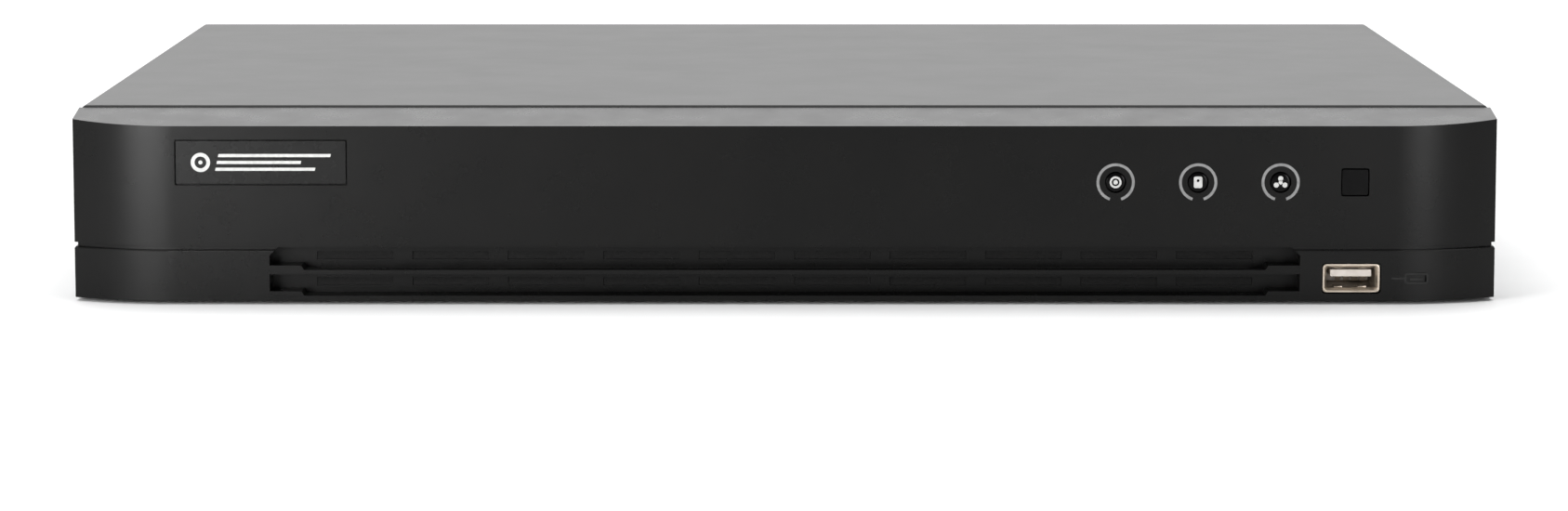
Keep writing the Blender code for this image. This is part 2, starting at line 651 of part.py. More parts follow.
def usb_socket(name, size, face, back, at, finish):
    """A USB socket's steel shell, open at its face, and the tongue inside it."""
    outer = centred(size[0], face - back, size[1], (0, (face + back) / 2, 0))
    width, height = size[0] - 2 * USB_WALL, size[1] - 2 * USB_WALL
    out = math.copysign(CUTTER_SPARE, face - back)
    floor = back + math.copysign(USB_WALL, face - back)
    pocket = block((-width / 2, width / 2), (floor, face + out), (-height / 2, height / 2))
    node(f"{name}_shell", "bright_metal", outer, cut(pocket), at=at)
    usb_tongue(f"{name}_tongue", (width, height), face, floor, at, finish)


def usb_tongue(name, pocket, face, floor, at, finish):
    """The plastic tongue of a USB socket, on the root block that fills the back of its pocket."""
    out = math.copysign(1, face - floor)
    root = block(
        (GAP - pocket[0] / 2, pocket[0] / 2 - GAP),
        (floor + out * GAP, floor + out * (GAP + USB_ROOT)),
        (GAP - pocket[1] / 2, pocket[1] / 2 - GAP),
    )
    top = pocket[1] / 2 - USB_TONGUE_DROP
    wide = USB_TONGUE[0] / 2
    length = (floor + out * (GAP + USB_ROOT / 2), face - out)
    tongue = block((-wide, wide), length, (top - USB_TONGUE[1], top))
    node(name, finish, root, join(tongue), at=at)


# Case ------------------------------------------------------------------------------------------


def case_section(inset, top):
    """The case seen from the front: straight sides and rounded bottom corners, moved in by inset."""
    half = CHASSIS_HALF - inset
    bottom = FLOOR_Z + inset
    radius = CORNER_RADIUS - inset
    left = arc((radius - half, bottom + radius), radius, 180, 270, 5)
    right = arc((half - radius, bottom + radius), radius, 270, 360, 5)
    return [(-half, top), *left, *right, (half, top)]


def round_hole(radius, x, z, sides=SOCKET_SIDES):
    """A cutter for a hole in the rear panel that clears a round neck of this radius."""
    ends = (PANEL_IN_Y - CUTTER_SPARE, PANEL_Y + CUTTER_SPARE)
    return rod((radius + GAP) / math.cos(math.pi / sides), ends, (x, z), Y, sides)


def square_hole(width, height, x, z):
    """A cutter for an opening in the rear panel that clears a block of this size."""
    depth = SHEET + 2 * CUTTER_SPARE
    return centred(width + 2 * GAP, depth, height + 2 * GAP, (x, (PANEL_Y + PANEL_IN_Y) / 2, z))


def panel_openings():
    """Cutters for every opening in the rear panel."""
    holes = [round_hole(SOCKET_NECK, x, z) for x in socket_columns() for z in (SOCKET_LOW_Z, SOCKET_HIGH_Z)]
    holes.append(round_hole(SOCKET_NECK, VIDEO_OUT_X, VIDEO_OUT_Z))
    holes += [round_hole(AUDIO_NECK, AUDIO_X, z, AUDIO_SIDES) for z in (AUDIO_LOW_Z, AUDIO_HIGH_Z)]
    holes += [round_hole(SCREW_RADIUS, x, z, 8) for x, z in screw_places()]
    holes.append(round_hole(SCREW_RADIUS, GROUND_X, GROUND_Z, 8))
    holes += [round_hole(SCREW_RADIUS, VGA_X + dx, VGA_Z, 8) for dx in jackscrew_offsets()]
    vga = vga_outline(GAP, (VGA_X, VGA_Z))
    holes.append(prism(vga, (PANEL_IN_Y - CUTTER_SPARE, PANEL_Y + CUTTER_SPARE), Y))
    holes.append(square_hole(*DIGITAL_SHELL, DIGITAL_X, DIGITAL_Z))
    tall_x = TERMINAL_X + TERMINAL_TALL / 2
    low_x = TERMINAL_X - TERMINAL_LOW / 2
    low_height = TERMINAL_HEIGHT - TERMINAL_STEP
    holes.append(square_hole(TERMINAL_TALL, TERMINAL_HEIGHT, tall_x, SEAT_Z + TERMINAL_HEIGHT / 2))
    holes.append(square_hole(TERMINAL_LOW + GAP, low_height, low_x, SEAT_Z + low_height / 2))
    holes.append(square_hole(STACK_WIDTH, STACK_HEIGHT, STACK_X, STACK_Z + STACK_HEIGHT / 2))
    holes.append(square_hole(POWER_WIDTH, POWER_HEIGHT, POWER_X, SEAT_Z + POWER_HEIGHT / 2))
    return holes


def screw_places():
    """Where the cover's screws go into the rear panel, as (x, z)."""
    top = [(side * TOP_TAB_X, TAB_SCREW_Z) for side in (-1, 1)]
    return top + [(side * SIDE_SCREW_X, SIDE_TAB_Z) for side in (-1, 1)]


def chassis():
    """The folded steel base with its front wall and rear panel, and the feet under it."""
    flange_top = FLOOR_Z + FLANGE_HEIGHT
    channel = case_section(0, flange_top) + case_section(SHEET, flange_top)[::-1]
    rear = prism(case_section(0, CASE_TOP), (PANEL_IN_Y, PANEL_Y), Y)
    front = prism(case_section(0, CASE_TOP - 2 * SHEET), (WALL_Y, WALL_Y + SHEET), Y)
    ys = (MAIN_BOARD_FRONT + 8, MAIN_BOARD_REAR - 8)
    sunk = FLOOR_Z + SHEET / 2
    standoff = (sunk, FLOOR_TOP + STANDOFF_HEIGHT)
    standoffs = [rod(STANDOFF_RADIUS, standoff, (x, y), Z, 8) for x in STANDOFF_X for y in ys]
    pad_places = [(DRIVE_X + i * DRIVE_PAD[0], DRIVE_Y + j * DRIVE_PAD[1]) for i in (-1, 1) for j in (-1, 1)]
    pads = [rod(PAD_RADIUS, (sunk, FLOOR_TOP + PAD_HEIGHT), place, Z, 8) for place in pad_places]
    slot_xs = [WALL_SLOT_PITCH * (i + 0.5 - WALL_SLOTS / 2) for i in range(WALL_SLOTS)]
    wall_slots = [centred(WALL_SLOT[0], 4 * SHEET, WALL_SLOT[1], (x, WALL_Y, WALL_SLOT_Z)) for x in slot_xs]
    ribbon_hole = centred(RIBBON_HOLE[0], 4 * SHEET, RIBBON_HOLE[1], (RIBBON_X, WALL_Y, RIBBON_FRONT_Z))
    node(
        "base_chassis",
        "panel_steel",
        prism(channel, (WALL_Y, PANEL_Y), Y),
        join(rear, front, *standoffs, *pads),
        cut(*panel_openings(), *wall_slots, ribbon_hole),
    )
    x = WIDTH / 2 - FOOT_INSET_X
    places = [(i * x, y) for y in (FRONT_Y + FOOT_INSET_FRONT, PANEL_Y - FOOT_INSET_REAR) for i in (-1, 1)]
    for number, place in enumerate(places, 1):
        node(f"foot_{number}", "rubber", rod(FOOT_RADIUS, (0, FOOT_HEIGHT), sides=16), at=(*place, 0))


def tab(along, edge, inward):
    """A tab on the inside edge of the cover's rear flange: its four corners, as (along, across)."""
    root, tip = TAB_ROOT / 2, TAB_TIP / 2
    reach = edge + inward * TAB_REACH
    return [(along - root, edge), (along - tip, reach), (along + tip, reach), (along + root, edge)]


def rear_opening():
    """The opening that the cover's rear flange leaves, with tabs for the screws and two notches."""
    side = COVER_HALF - COVER_FLANGE_SIDE
    top = HEIGHT - COVER_FLANGE_TOP
    bottom = COVER_BOTTOM - CUTTER_SPARE
    left = [(x, z) for z, x in tab(SIDE_TAB_Z, -side, 1)]
    right = [(x, z) for z, x in tab(SIDE_TAB_Z, side, -1)][::-1]
    tabs = tab(-TOP_TAB_X, top, -1) + tab(TOP_TAB_X, top, -1)
    return [(-side, bottom), *left, (-side, top), *tabs, (side, top), *right, (side, bottom)]


def cover():
    """The lid: top, sides and rear flange folded from one sheet, and the screws that hold it."""
    back = PANEL_Y + GAP + SHEET
    inner = COVER_HALF - SHEET
    turn = COVER_ROUNDING
    corners = arc((COVER_HALF - turn, HEIGHT - turn), turn, 0, 90, 3)
    section = [(-x, z) for x, z in corners] + corners[::-1]
    outline = [(-COVER_HALF, COVER_BOTTOM), *section, (COVER_HALF, COVER_BOTTOM)]
    inside = block((-inner, inner), (SEAM_Y - CUTTER_SPARE, back - SHEET), (0, COVER_IN_Z))
    through = (back - 2 * SHEET, back + CUTTER_SPARE)
    rear = prism(rear_opening(), through, Y)
    notch = FLANGE_NOTCH_WIDTH / 2
    notch_z = (HEIGHT - 2 * COVER_FLANGE_TOP, CASE_TOP)
    notches = [block((x - notch, x + notch), through, notch_z) for x in FLANGE_NOTCH_X]
    hole = (SCREW_RADIUS + SCREW_CLEARANCE) / math.cos(math.pi / 8)
    holes = [rod(hole, through, place, Y, 8) for place in screw_places()]
    vent_z = (COVER_BOTTOM + HEIGHT) / 2
    vent_ys = [SIDE_VENT_START + i * SIDE_VENT_PITCH for i in range(SIDE_VENT_SLOTS)]
    vent_size = (4 * SHEET, SIDE_VENT_WIDTH, SIDE_VENT_HEIGHT)
    vents = [centred(*vent_size, (side * COVER_HALF, y, vent_z)) for side in (-1, 1) for y in vent_ys]
    node(
        "top_cover",
        "black_paint",
        prism(outline, (SEAM_Y, back), Y),
        cut(inside, *vents),
        cut(rear, *notches, *holes),
    )
    for number, (x, z) in enumerate(screw_places(), 1):
        screw(f"cover_screw_{number}", SCREW_HEAD_RADIUS, (x, back + GAP, z), "black_paint")


def screw(name, head_radius, at, finish):
    """A pan-head screw, pointing inwards, with the underside of its head at a point."""
    profile = [(0, -SCREW_LENGTH), (SCREW_RADIUS, -SCREW_LENGTH), (SCREW_RADIUS, 0), (head_radius, 0)]
    top = SCREW_HEAD_HEIGHT
    profile += [(head_radius, top * 0.6), (head_radius * 0.7, top), (0, top)]
    node(name, finish, turned(profile, 12, axis=Y), at=at)


# Camera sockets --------------------------------------------------------------------------------


def socket_columns():
    """The x of each column of camera sockets, from the ground screw's far side."""
    return [SOCKET_FIRST_X - SOCKET_PITCH * i for i in range(SOCKET_COLUMNS)]


def socket_barrel(x, z, start):
    """The outside of one socket: a neck through the panel and a barrel with no bore yet."""
    neck = PANEL_Y + SOCKET_NECK_HEIGHT
    tip = PANEL_Y + SOCKET_REACH
    profile = [(0, start), (SOCKET_NECK, start), (SOCKET_NECK, neck), (SOCKET_BARREL, neck)]
    profile += [(SOCKET_BARREL, tip), (0, tip)]
    return turned(profile, SOCKET_SIDES, (x, 0, z), Y)


def socket_core(x, z, start):
    """The insulator of one socket: a sleeve in the bore, and a thin core out to the tip."""
    sleeve = SOCKET_BORE * math.cos(math.pi / SOCKET_SIDES) - GAP
    shoulder = PANEL_Y + SOCKET_REACH - SOCKET_BORE_DEPTH
    tip = PANEL_Y + SOCKET_REACH - SOCKET_CORE_SETBACK
    profile = [(0, start), (sleeve, start), (sleeve, shoulder), (SOCKET_CORE, shoulder)]
    profile += [(SOCKET_CORE, tip), (0, tip)]
    return turned(profile, CORE_SIDES, (x, 0, z), Y)


def sockets(shell, insulator, body_blocks, carrier, places):
    """A casting with one or more sockets on it, and the insulator moulding that fills their bores."""
    start = PANEL_IN_Y - 2 * GAP
    barrels = [socket_barrel(x, z, start) for x, z in places]
    bore_ends = (PANEL_IN_Y - GAP - SOCKET_CASTING_DEPTH - CUTTER_SPARE, DEPTH)
    bores = [rod(SOCKET_BORE, bore_ends, place, Y, SOCKET_SIDES) for place in places]
    node(shell, "connector_metal", body_blocks[0], join(*body_blocks[1:], *barrels), cut(*bores))
    cores = [socket_core(x, z, carrier_face() - GAP) for x, z in places]
    node(insulator, "white_plastic", carrier, join(*cores))


def carrier_face():
    """Front of the insulator mouldings, behind the castings."""
    return PANEL_IN_Y - 2 * GAP - SOCKET_CASTING_DEPTH


def camera_sockets():
    """The camera sockets, in blocks of columns, two rows high."""
    columns = socket_columns()
    each = SOCKET_COLUMNS // SOCKET_BLOCKS
    depth = (PANEL_IN_Y - GAP - SOCKET_CASTING_DEPTH, PANEL_IN_Y - GAP)
    high = (SEAT_Z, SOCKET_HIGH_Z + SOCKET_TOP_SPARE)
    for number in range(SOCKET_BLOCKS):
        part = columns[number * each : (number + 1) * each]
        half = SOCKET_PITCH / 2 - GAP
        across = (part[-1] - half, part[0] + half)
        carrier = block(across, (carrier_face() - SOCKET_CARRIER_DEPTH, carrier_face()), high)
        places = [(x, z) for x in part for z in (SOCKET_LOW_Z, SOCKET_HIGH_Z)]
        casting = [block(across, depth, high)]
        label = number + 1
        sockets(f"camera_socket_block_{label}", f"camera_insulator_block_{label}", casting, carrier, places)


def video_out_socket():
    """The single video output socket, on a casting that stands over the power socket."""
    depth = (PANEL_IN_Y - GAP - SOCKET_CASTING_DEPTH, PANEL_IN_Y - GAP)
    across = (VIDEO_OUT_X - VIDEO_OUT_HALF, VIDEO_OUT_X + VIDEO_OUT_HALF)
    high = (VIDEO_OUT_Z - VIDEO_OUT_HALF, VIDEO_OUT_Z + VIDEO_OUT_HALF)
    leg = block((across[1] - VIDEO_OUT_LEG, across[1]), depth, (SEAT_Z, VIDEO_OUT_Z))
    carrier = block(across, (carrier_face() - SOCKET_CARRIER_DEPTH, carrier_face()), high)
    casting = [block(across, depth, high), leg]
    sockets("video_out_shell", "video_out_insulator", casting, carrier, [(VIDEO_OUT_X, VIDEO_OUT_Z)])


# Other sockets on the rear panel -----------------------------------------------------------------


def audio_sockets():
    """The two stacked audio sockets: one housing, and a metal ring and a coloured insert for each."""
    face = PANEL_IN_Y - GAP
    half = AUDIO_HOUSING_HALF
    top = AUDIO_HIGH_Z + half
    node(
        "audio_housing",
        "black_plastic",
        block((AUDIO_X - half, AUDIO_X + half), (face - AUDIO_HOUSING_DEPTH, face), (SEAT_Z, top)),
    )
    neck, tip = PANEL_Y + AUDIO_NECK_HEIGHT, PANEL_Y + AUDIO_REACH
    bore = AUDIO_BARREL - AUDIO_WALL
    insert = bore * math.cos(math.pi / AUDIO_SIDES) - GAP
    start = face + GAP
    ring = [(bore, start), (AUDIO_NECK, start), (AUDIO_NECK, neck), (AUDIO_BARREL, neck)]
    ring += [(AUDIO_BARREL, tip), (bore, tip)]
    end = tip - AUDIO_INSERT_SETBACK
    deep = start + AUDIO_INSERT_FLOOR
    plug = [(0, start), (insert, start), (insert, end), (AUDIO_INSERT_HOLE, end)]
    plug += [(AUDIO_INSERT_HOLE, deep), (0, deep)]
    pair = (("audio_in", "red_plastic", AUDIO_HIGH_Z), ("audio_out", "white_plastic", AUDIO_LOW_Z))
    for name, finish, z in pair:
        at = (AUDIO_X, 0, z)
        node(f"{name}_ring", "bright_metal", turned(ring, AUDIO_SIDES, axis=Y), at=at)
        node(f"{name}_insert", finish, turned(plug, AUDIO_SIDES, axis=Y), at=at)


def vga_outline(grow, centre=(0, 0)):
    """The D-shaped outline of the monitor socket's shell, with its shape grown by an amount."""
    x, z = centre
    wide, high = VGA_SHELL[0] / 2 + grow, VGA_SHELL[1] / 2 + grow
    low = wide - VGA_SLANT
    return [(x - wide, z + high), (x - low, z - high), (x + low, z - high), (x + wide, z + high)]


def jackscrew_offsets():
    """The x of the two jackscrews, from the middle of the monitor socket."""
    return (-VGA_SCREW_SPACING / 2, VGA_SCREW_SPACING / 2)


def vga_socket():
    """The analogue monitor socket: plate and shell, blue moulding on legs, and two jackscrews."""
    front = PANEL_IN_Y - GAP
    plate_back = front - VGA_PLATE
    at = (VGA_X, front, VGA_Z)
    wide, high = (size / 2 for size in VGA_FLANGE)
    tip = PANEL_Y + VGA_REACH - front
    plate = block((-wide, wide), (-VGA_PLATE, 0), (-high, high))
    shell = prism(vga_outline(0), (-VGA_PLATE, tip), Y)
    bore = prism(vga_outline(-VGA_WALL), (-VGA_PLATE - CUTTER_SPARE, tip + CUTTER_SPARE), Y)
    thread_ends = (-VGA_PLATE - CUTTER_SPARE, CUTTER_SPARE)
    thread = (SCREW_RADIUS + GAP) / math.cos(math.pi / 6)
    threads = [rod(thread, thread_ends, (dx, 0), Y, 6) for dx in jackscrew_offsets()]
    node("vga_shell", "bright_metal", plate, join(shell), cut(bore, *threads), at=at)

    back = -VGA_PLATE - GAP
    body = block((-wide, wide), (back - VGA_BODY_DEPTH, back), (-high, high))
    nose = prism(vga_outline(-VGA_WALL - GAP), (back - 1, tip - VGA_INSERT_SETBACK), Y)
    legs = [
        block((x, x + width), (back - VGA_BODY_DEPTH, back), (SEAT_Z - VGA_Z, 0)) for x, width in VGA_LEGS
    ]
    screw_ends = (back - SCREW_LENGTH, back + CUTTER_SPARE)
    wells = [rod(thread, screw_ends, (dx, 0), Y, 6) for dx in jackscrew_offsets()]
    node("vga_insulator", "blue_plastic", body, join(nose, *legs), cut(*wells), at=at)

    for number, dx in enumerate(jackscrew_offsets(), 1):
        reach = JACKSCREW_REACH
        inside = front + back - SCREW_LENGTH + GAP - PANEL_Y - GAP
        profile = [(0, inside), (SCREW_RADIUS, inside), (SCREW_RADIUS, 0), (JACKSCREW_RADIUS, 0)]
        profile += [(JACKSCREW_RADIUS, reach), (SCREW_RADIUS, reach)]
        profile += [(SCREW_RADIUS, reach / 2), (0, reach / 2)]
        place = (VGA_X + dx, PANEL_Y + GAP, VGA_Z)
        node(f"vga_jackscrew_{number}", "bright_metal", turned(profile, 6, axis=Y), at=place)


def digital_outline(inset):
    """The outline of the digital monitor socket, with its two lower corners cut off."""
    wide, high = DIGITAL_SHELL[0] / 2 - inset, DIGITAL_SHELL[1] / 2 - inset
    low, step = wide - DIGITAL_CORNER, DIGITAL_CORNER - high
    return [(-wide, high), (-wide, step), (-low, -high), (low, -high), (wide, step), (wide, high)]


def digital_socket():
    """The digital monitor socket: a folded shell with a tongue in it."""
    at = (DIGITAL_X, PANEL_Y + DIGITAL_REACH, DIGITAL_Z)
    outside = prism(digital_outline(0), (-DIGITAL_DEPTH, 0), Y)
    floor = USB_WALL - DIGITAL_DEPTH
    pocket = prism(digital_outline(DIGITAL_WALL), (floor, CUTTER_SPARE), Y)
    node("digital_video_shell", "bright_metal", outside, cut(pocket), at=at)
    root = prism(digital_outline(DIGITAL_WALL + GAP), (floor + GAP, floor + GAP + USB_ROOT), Y)
    tongue = centred(DIGITAL_TONGUE[0], -floor - 2, DIGITAL_TONGUE[1], (0, floor / 2 - 0.5, 0.3))
    node("digital_video_tongue", "black_plastic", root, join(tongue), at=at)


def terminal():
    """The two-pole wire terminal with its two release buttons."""
    face = PANEL_Y + TERMINAL_REACH
    low_top = SEAT_Z + TERMINAL_HEIGHT - TERMINAL_STEP
    right, left = TERMINAL_X + TERMINAL_TALL, TERMINAL_X - TERMINAL_LOW
    outline = [(right, SEAT_Z), (right, TERMINAL_TOP), (TERMINAL_X, TERMINAL_TOP), (TERMINAL_X, low_top)]
    outline += [(left, low_top), (left, SEAT_Z)]
    middle = TERMINAL_X + TERMINAL_TALL / 2
    poles = (middle + TERMINAL_POLE_PITCH / 2, middle - TERMINAL_POLE_PITCH / 2)
    button_z = TERMINAL_TOP - TERMINAL_BUTTON_DROP
    wide, high = TERMINAL_BUTTON[0] / 2, TERMINAL_BUTTON[1] / 2
    bottom = face + TERMINAL_BUTTON_PROUD - TERMINAL_BUTTON_LENGTH - TERMINAL_TRAVEL - GAP
    pocket = block(
        (poles[1] - wide - GAP, poles[0] + wide + GAP),
        (bottom, face + CUTTER_SPARE),
        (button_z - high - GAP, button_z + high + GAP),
    )
    wire_z = TERMINAL_TOP - TERMINAL_WIRE_DROP
    wire_ends = (face - TERMINAL_WIRE_DEPTH, face + CUTTER_SPARE)
    wires = [rod(TERMINAL_WIRE_RADIUS, wire_ends, (x, wire_z), Y, 10) for x in poles]
    body = prism(outline, (face - TERMINAL_DEPTH, face), Y)
    node("terminal_block", "green_plastic", body, cut(pocket, *wires))
    for number, x in enumerate(poles, 1):
        button = block((-wide, wide), (-TERMINAL_BUTTON_LENGTH, 0), (-high, high))
        place = (x, face + TERMINAL_BUTTON_PROUD, button_z)
        node(f"terminal_button_{number}", "orange_plastic", button, at=place)


def network_and_usb():
    """The steel housing of the network socket and two USB sockets, and the pieces inside it."""
    face = PANEL_Y + STACK_REACH
    half = STACK_WIDTH / 2
    at = (STACK_X, face, STACK_Z)
    top = STACK_HEIGHT - STACK_WALL
    inner = half - STACK_WALL
    insert_back = -NETWORK_SETBACK - NETWORK_DEPTH - NETWORK_BACK_WALL
    network_pocket = block((-inner, inner), (insert_back - GAP, CUTTER_SPARE), (NETWORK_FLOOR, top))
    wide, high = (size / 2 for size in REAR_USB_OPENING)
    usb_depth = (-REAR_USB_DEPTH, CUTTER_SPARE)
    usb_pockets = [block((-wide, wide), usb_depth, (z - high, z + high)) for z in REAR_USB_Z]
    housing = block((-half, half), (-STACK_DEPTH, 0), (0, STACK_HEIGHT))
    node("network_usb_housing", "bright_metal", housing, cut(network_pocket, *usb_pockets), at=at)

    floor = NETWORK_FLOOR + GAP
    insert = block((GAP - inner, inner - GAP), (insert_back, -NETWORK_SETBACK), (floor, top - GAP))
    steps = ((NETWORK_OPENING[0], NETWORK_OPENING[1]), *NETWORK_NOTCHES)
    base = floor + NETWORK_SILL
    outline_right = []
    level = base
    for width, height in steps:
        outline_right += [(width / 2, level), (width / 2, level + height)]
        level += height
    outline = outline_right + [(-x, z) for x, z in reversed(outline_right)]
    opening = prism(outline, (-NETWORK_SETBACK - NETWORK_DEPTH, CUTTER_SPARE), Y)
    node("network_insert", "black_plastic", insert, cut(opening), at=at)

    for number, z in enumerate(REAR_USB_Z, 1):
        place = (STACK_X, face, STACK_Z + z)
        usb_tongue(f"rear_usb_tongue_{number}", REAR_USB_OPENING, 0, -REAR_USB_DEPTH, place, "blue_plastic")


def power_socket():
    """The power socket and the pin in its bore."""
    half = POWER_WIDTH / 2
    face = PANEL_Y + POWER_REACH
    body = block((-half, half), (-POWER_DEPTH, 0), (-POWER_RISE, POWER_HEIGHT - POWER_RISE))
    bore = rod(POWER_BORE, (-POWER_BORE_DEPTH, CUTTER_SPARE), axis=Y, sides=16)
    at = (POWER_X, face, POWER_Z)
    node("power_socket_body", "black_plastic", body, cut(bore), at=at)
    ends = (GAP - POWER_BORE_DEPTH, -POWER_PIN_SETBACK)
    node("power_socket_pin", "bright_metal", rod(POWER_PIN, ends, axis=Y, sides=12), at=at)


# Inside ----------------------------------------------------------------------------------------


def main_board():
    """The main board with its processor and the headers for the front board and the drive."""
    deep = (MAIN_BOARD_FRONT, MAIN_BOARD_REAR)
    board = block((-MAIN_BOARD_HALF, MAIN_BOARD_HALF), deep, (BOARD_Z, BOARD_TOP))
    sunk = BOARD_TOP - BOARD / 2
    chip = centred(CHIP_SIDE, CHIP_SIDE, 2 * CHIP_HEIGHT, (CHIP_X, CHIP_Y, BOARD_TOP))
    half = RIBBON_WIDTH / 2 + HEADER_SIDE
    ribbon_header = block(
        (RIBBON_X - half, RIBBON_X + half),
        (RIBBON_HEADER_Y, RIBBON_HEADER_Y + HEADER_DEPTH),
        (sunk, RIBBON_REAR_Z + HEADER_HEIGHT / 2),
    )
    x, y = CABLE_HEADER
    across = (x - CABLE_HEADER_WIDTH / 2, x + CABLE_HEADER_WIDTH / 2)
    cable_header = block(across, (y, y + HEADER_DEPTH), (sunk, CABLE_END_Z + HEADER_HEIGHT / 2))
    node("main_board", "board_green", board, join(chip, ribbon_header, cable_header))
    battery = rod(BATTERY_RADIUS, (0, BATTERY_HEIGHT), sides=20)
    node("clock_battery", "bright_metal", battery, at=(BATTERY_X, BATTERY_Y, SEAT_Z))


def ribbon_cable():
    """The flat cable from the front board, through the front wall, to the main board."""
    start, end = WALL_Y - GAP, RIBBON_HEADER_Y - GAP
    knots = [
        (start, RIBBON_FRONT_Z),
        (start + 8, RIBBON_FRONT_Z - 1),
        (start + 25, FLOOR_TOP + 6),
        (start + 60, FLOOR_TOP + 2),
        (MAIN_BOARD_FRONT - 40, FLOOR_TOP + 2),
        (MAIN_BOARD_FRONT - 10, RIBBON_REAR_Z - 2),
        (end - 4, RIBBON_REAR_Z),
        (end, RIBBON_REAR_Z),
    ]
    route = smooth_route([(0, y, z) for y, z in knots], 12)
    half = RIBBON_THICKNESS / 2
    upper = [(p.y, p.z + half) for p in route]
    lower = [(p.y, p.z - half) for p in reversed(route)]
    across = (RIBBON_X - RIBBON_WIDTH / 2, RIBBON_X + RIBBON_WIDTH / 2)
    node("front_ribbon_cable", "ribbon_grey", prism(upper + lower, across, X))


def drive_cable():
    """The lead from the disk drive to the main board."""
    start_x = DRIVE_X + DRIVE_LENGTH / 2 + GAP
    x, y = CABLE_HEADER
    knots = [
        (start_x, DRIVE_Y, DRIVE_Z + 4),
        (start_x + 8, DRIVE_Y + 1, DRIVE_Z + 4),
        (start_x + 18, DRIVE_Y + 12, DRIVE_Z + 2),
        (start_x + 18, DRIVE_Y + 50, FLOOR_TOP + 3),
        (x + 6, y - 22, CABLE_END_Z - 2),
        (x, y - 8, CABLE_END_Z),
        (x, y - GAP, CABLE_END_Z),
    ]
    route = smooth_route(knots, CABLE_POINT_SPACING)
    curve = bpy.data.curves.new("drive_cable", "CURVE")
    curve.dimensions = "3D"
    curve.bevel_depth = CABLE_RADIUS * MM
    curve.bevel_resolution = 2
    curve.use_fill_caps = True
    spline = curve.splines.new("POLY")
    spline.points.add(len(route) - 1)
    for point, place in zip(spline.points, route):
        point.co = (*(place * MM), 1)
    curve.materials.append(material("cable_red"))
    bpy.context.scene.collection.objects.link(bpy.data.objects.new("drive_cable", curve))


def disk_drive():
    """The disk drive: casting, lid and board, and the platters and arm that move inside."""
    spindle_x, spindle_y = (c - d for c, d in zip(SPINDLE_AT, (DRIVE_X, DRIVE_Y)))
    pivot_x, pivot_y = PIVOT_OFFSET
    rim = DRIVE_HEIGHT - DRIVE_LID - GAP
    long, wide = DRIVE_LENGTH / 2, DRIVE_WIDTH / 2
    body = block((-long, long), (-wide, wide), (0, rim))
    cavity = (DRIVE_FLOOR, rim + CUTTER_SPARE)
    well = rod(PLATTER_RADIUS + PLATTER_CLEARANCE, cavity, (spindle_x, spindle_y), Z, 40)
    arm_x = [spindle_x + end for end in DRIVE_CAVITY_X]
    arm_room = block(arm_x, (-DRIVE_CAVITY_HALF, DRIVE_CAVITY_HALF), cavity)
    board_half = DRIVE_BOARD[1] / 2
    recess = block(
        (long - DRIVE_BOARD[0], long + CUTTER_SPARE),
        (-board_half - GAP, board_half + GAP),
        (-CUTTER_SPARE, DRIVE_RECESS),
    )
    plug_long, plug_wide, plug_high = DRIVE_PLUG
    plug_room = block(
        (long - plug_long - 2 * GAP, long + CUTTER_SPARE),
        (-plug_wide / 2 - GAP, plug_wide / 2 + GAP),
        (-CUTTER_SPARE, plug_high + GAP),
    )
    rooted = (DRIVE_RECESS + DRIVE_FLOOR) / 2
    hub_top, pivot_top = DRIVE_FLOOR + HUB_HEIGHT, DRIVE_FLOOR + PIVOT_HEIGHT
    spindle = rod(SPINDLE_RADIUS, (rooted, hub_top), (spindle_x, spindle_y), Z, SPINDLE_SIDES)
    pivot = rod(PIVOT_RADIUS, (rooted, pivot_top), (pivot_x, pivot_y), Z, PIVOT_SIDES)
    at = (DRIVE_X, DRIVE_Y, DRIVE_Z)
    node(
        "hdd_casting",
        "cast_aluminium",
        body,
        cut(well, arm_room, recess, plug_room),
        join(spindle, pivot),
        at=at,
    )
    lid = block((-long, long), (-wide, wide), (0, DRIVE_LID))
    node("hdd_lid", "bright_metal", lid, at=(DRIVE_X, DRIVE_Y, DRIVE_Z + rim + GAP))
    under = DRIVE_RECESS - GAP - BOARD
    board = block((long - DRIVE_BOARD[0] + GAP, long - 1), (-board_half, board_half), (under, under + BOARD))
    plug = block((long - plug_long, long), (-plug_wide / 2, plug_wide / 2), (under, plug_high))
    node("hdd_board", "board_green", board, join(plug), at=at)
    platters()
    actuator_arm()


def platters():
    """The two platters on their hub, about the spindle."""
    bore = (SPINDLE_RADIUS + GAP) / math.cos(math.pi / PLATTER_SIDES)
    profile = [(bore, 0), (HUB_RADIUS, 0)]
    for level in (PLATTER_FIRST_Z, PLATTER_FIRST_Z + PLATTER_PITCH):
        top = level + PLATTER_THICKNESS
        profile += [(HUB_RADIUS, level), (PLATTER_RADIUS, level), (PLATTER_RADIUS, top), (HUB_RADIUS, top)]
    profile += [(HUB_RADIUS, HUB_HEIGHT), (bore, HUB_HEIGHT)]
    at = (*SPINDLE_AT, DRIVE_IN_Z + GAP)
    node("hdd_platters", "bright_metal", turned(profile, PLATTER_SIDES), at=at)


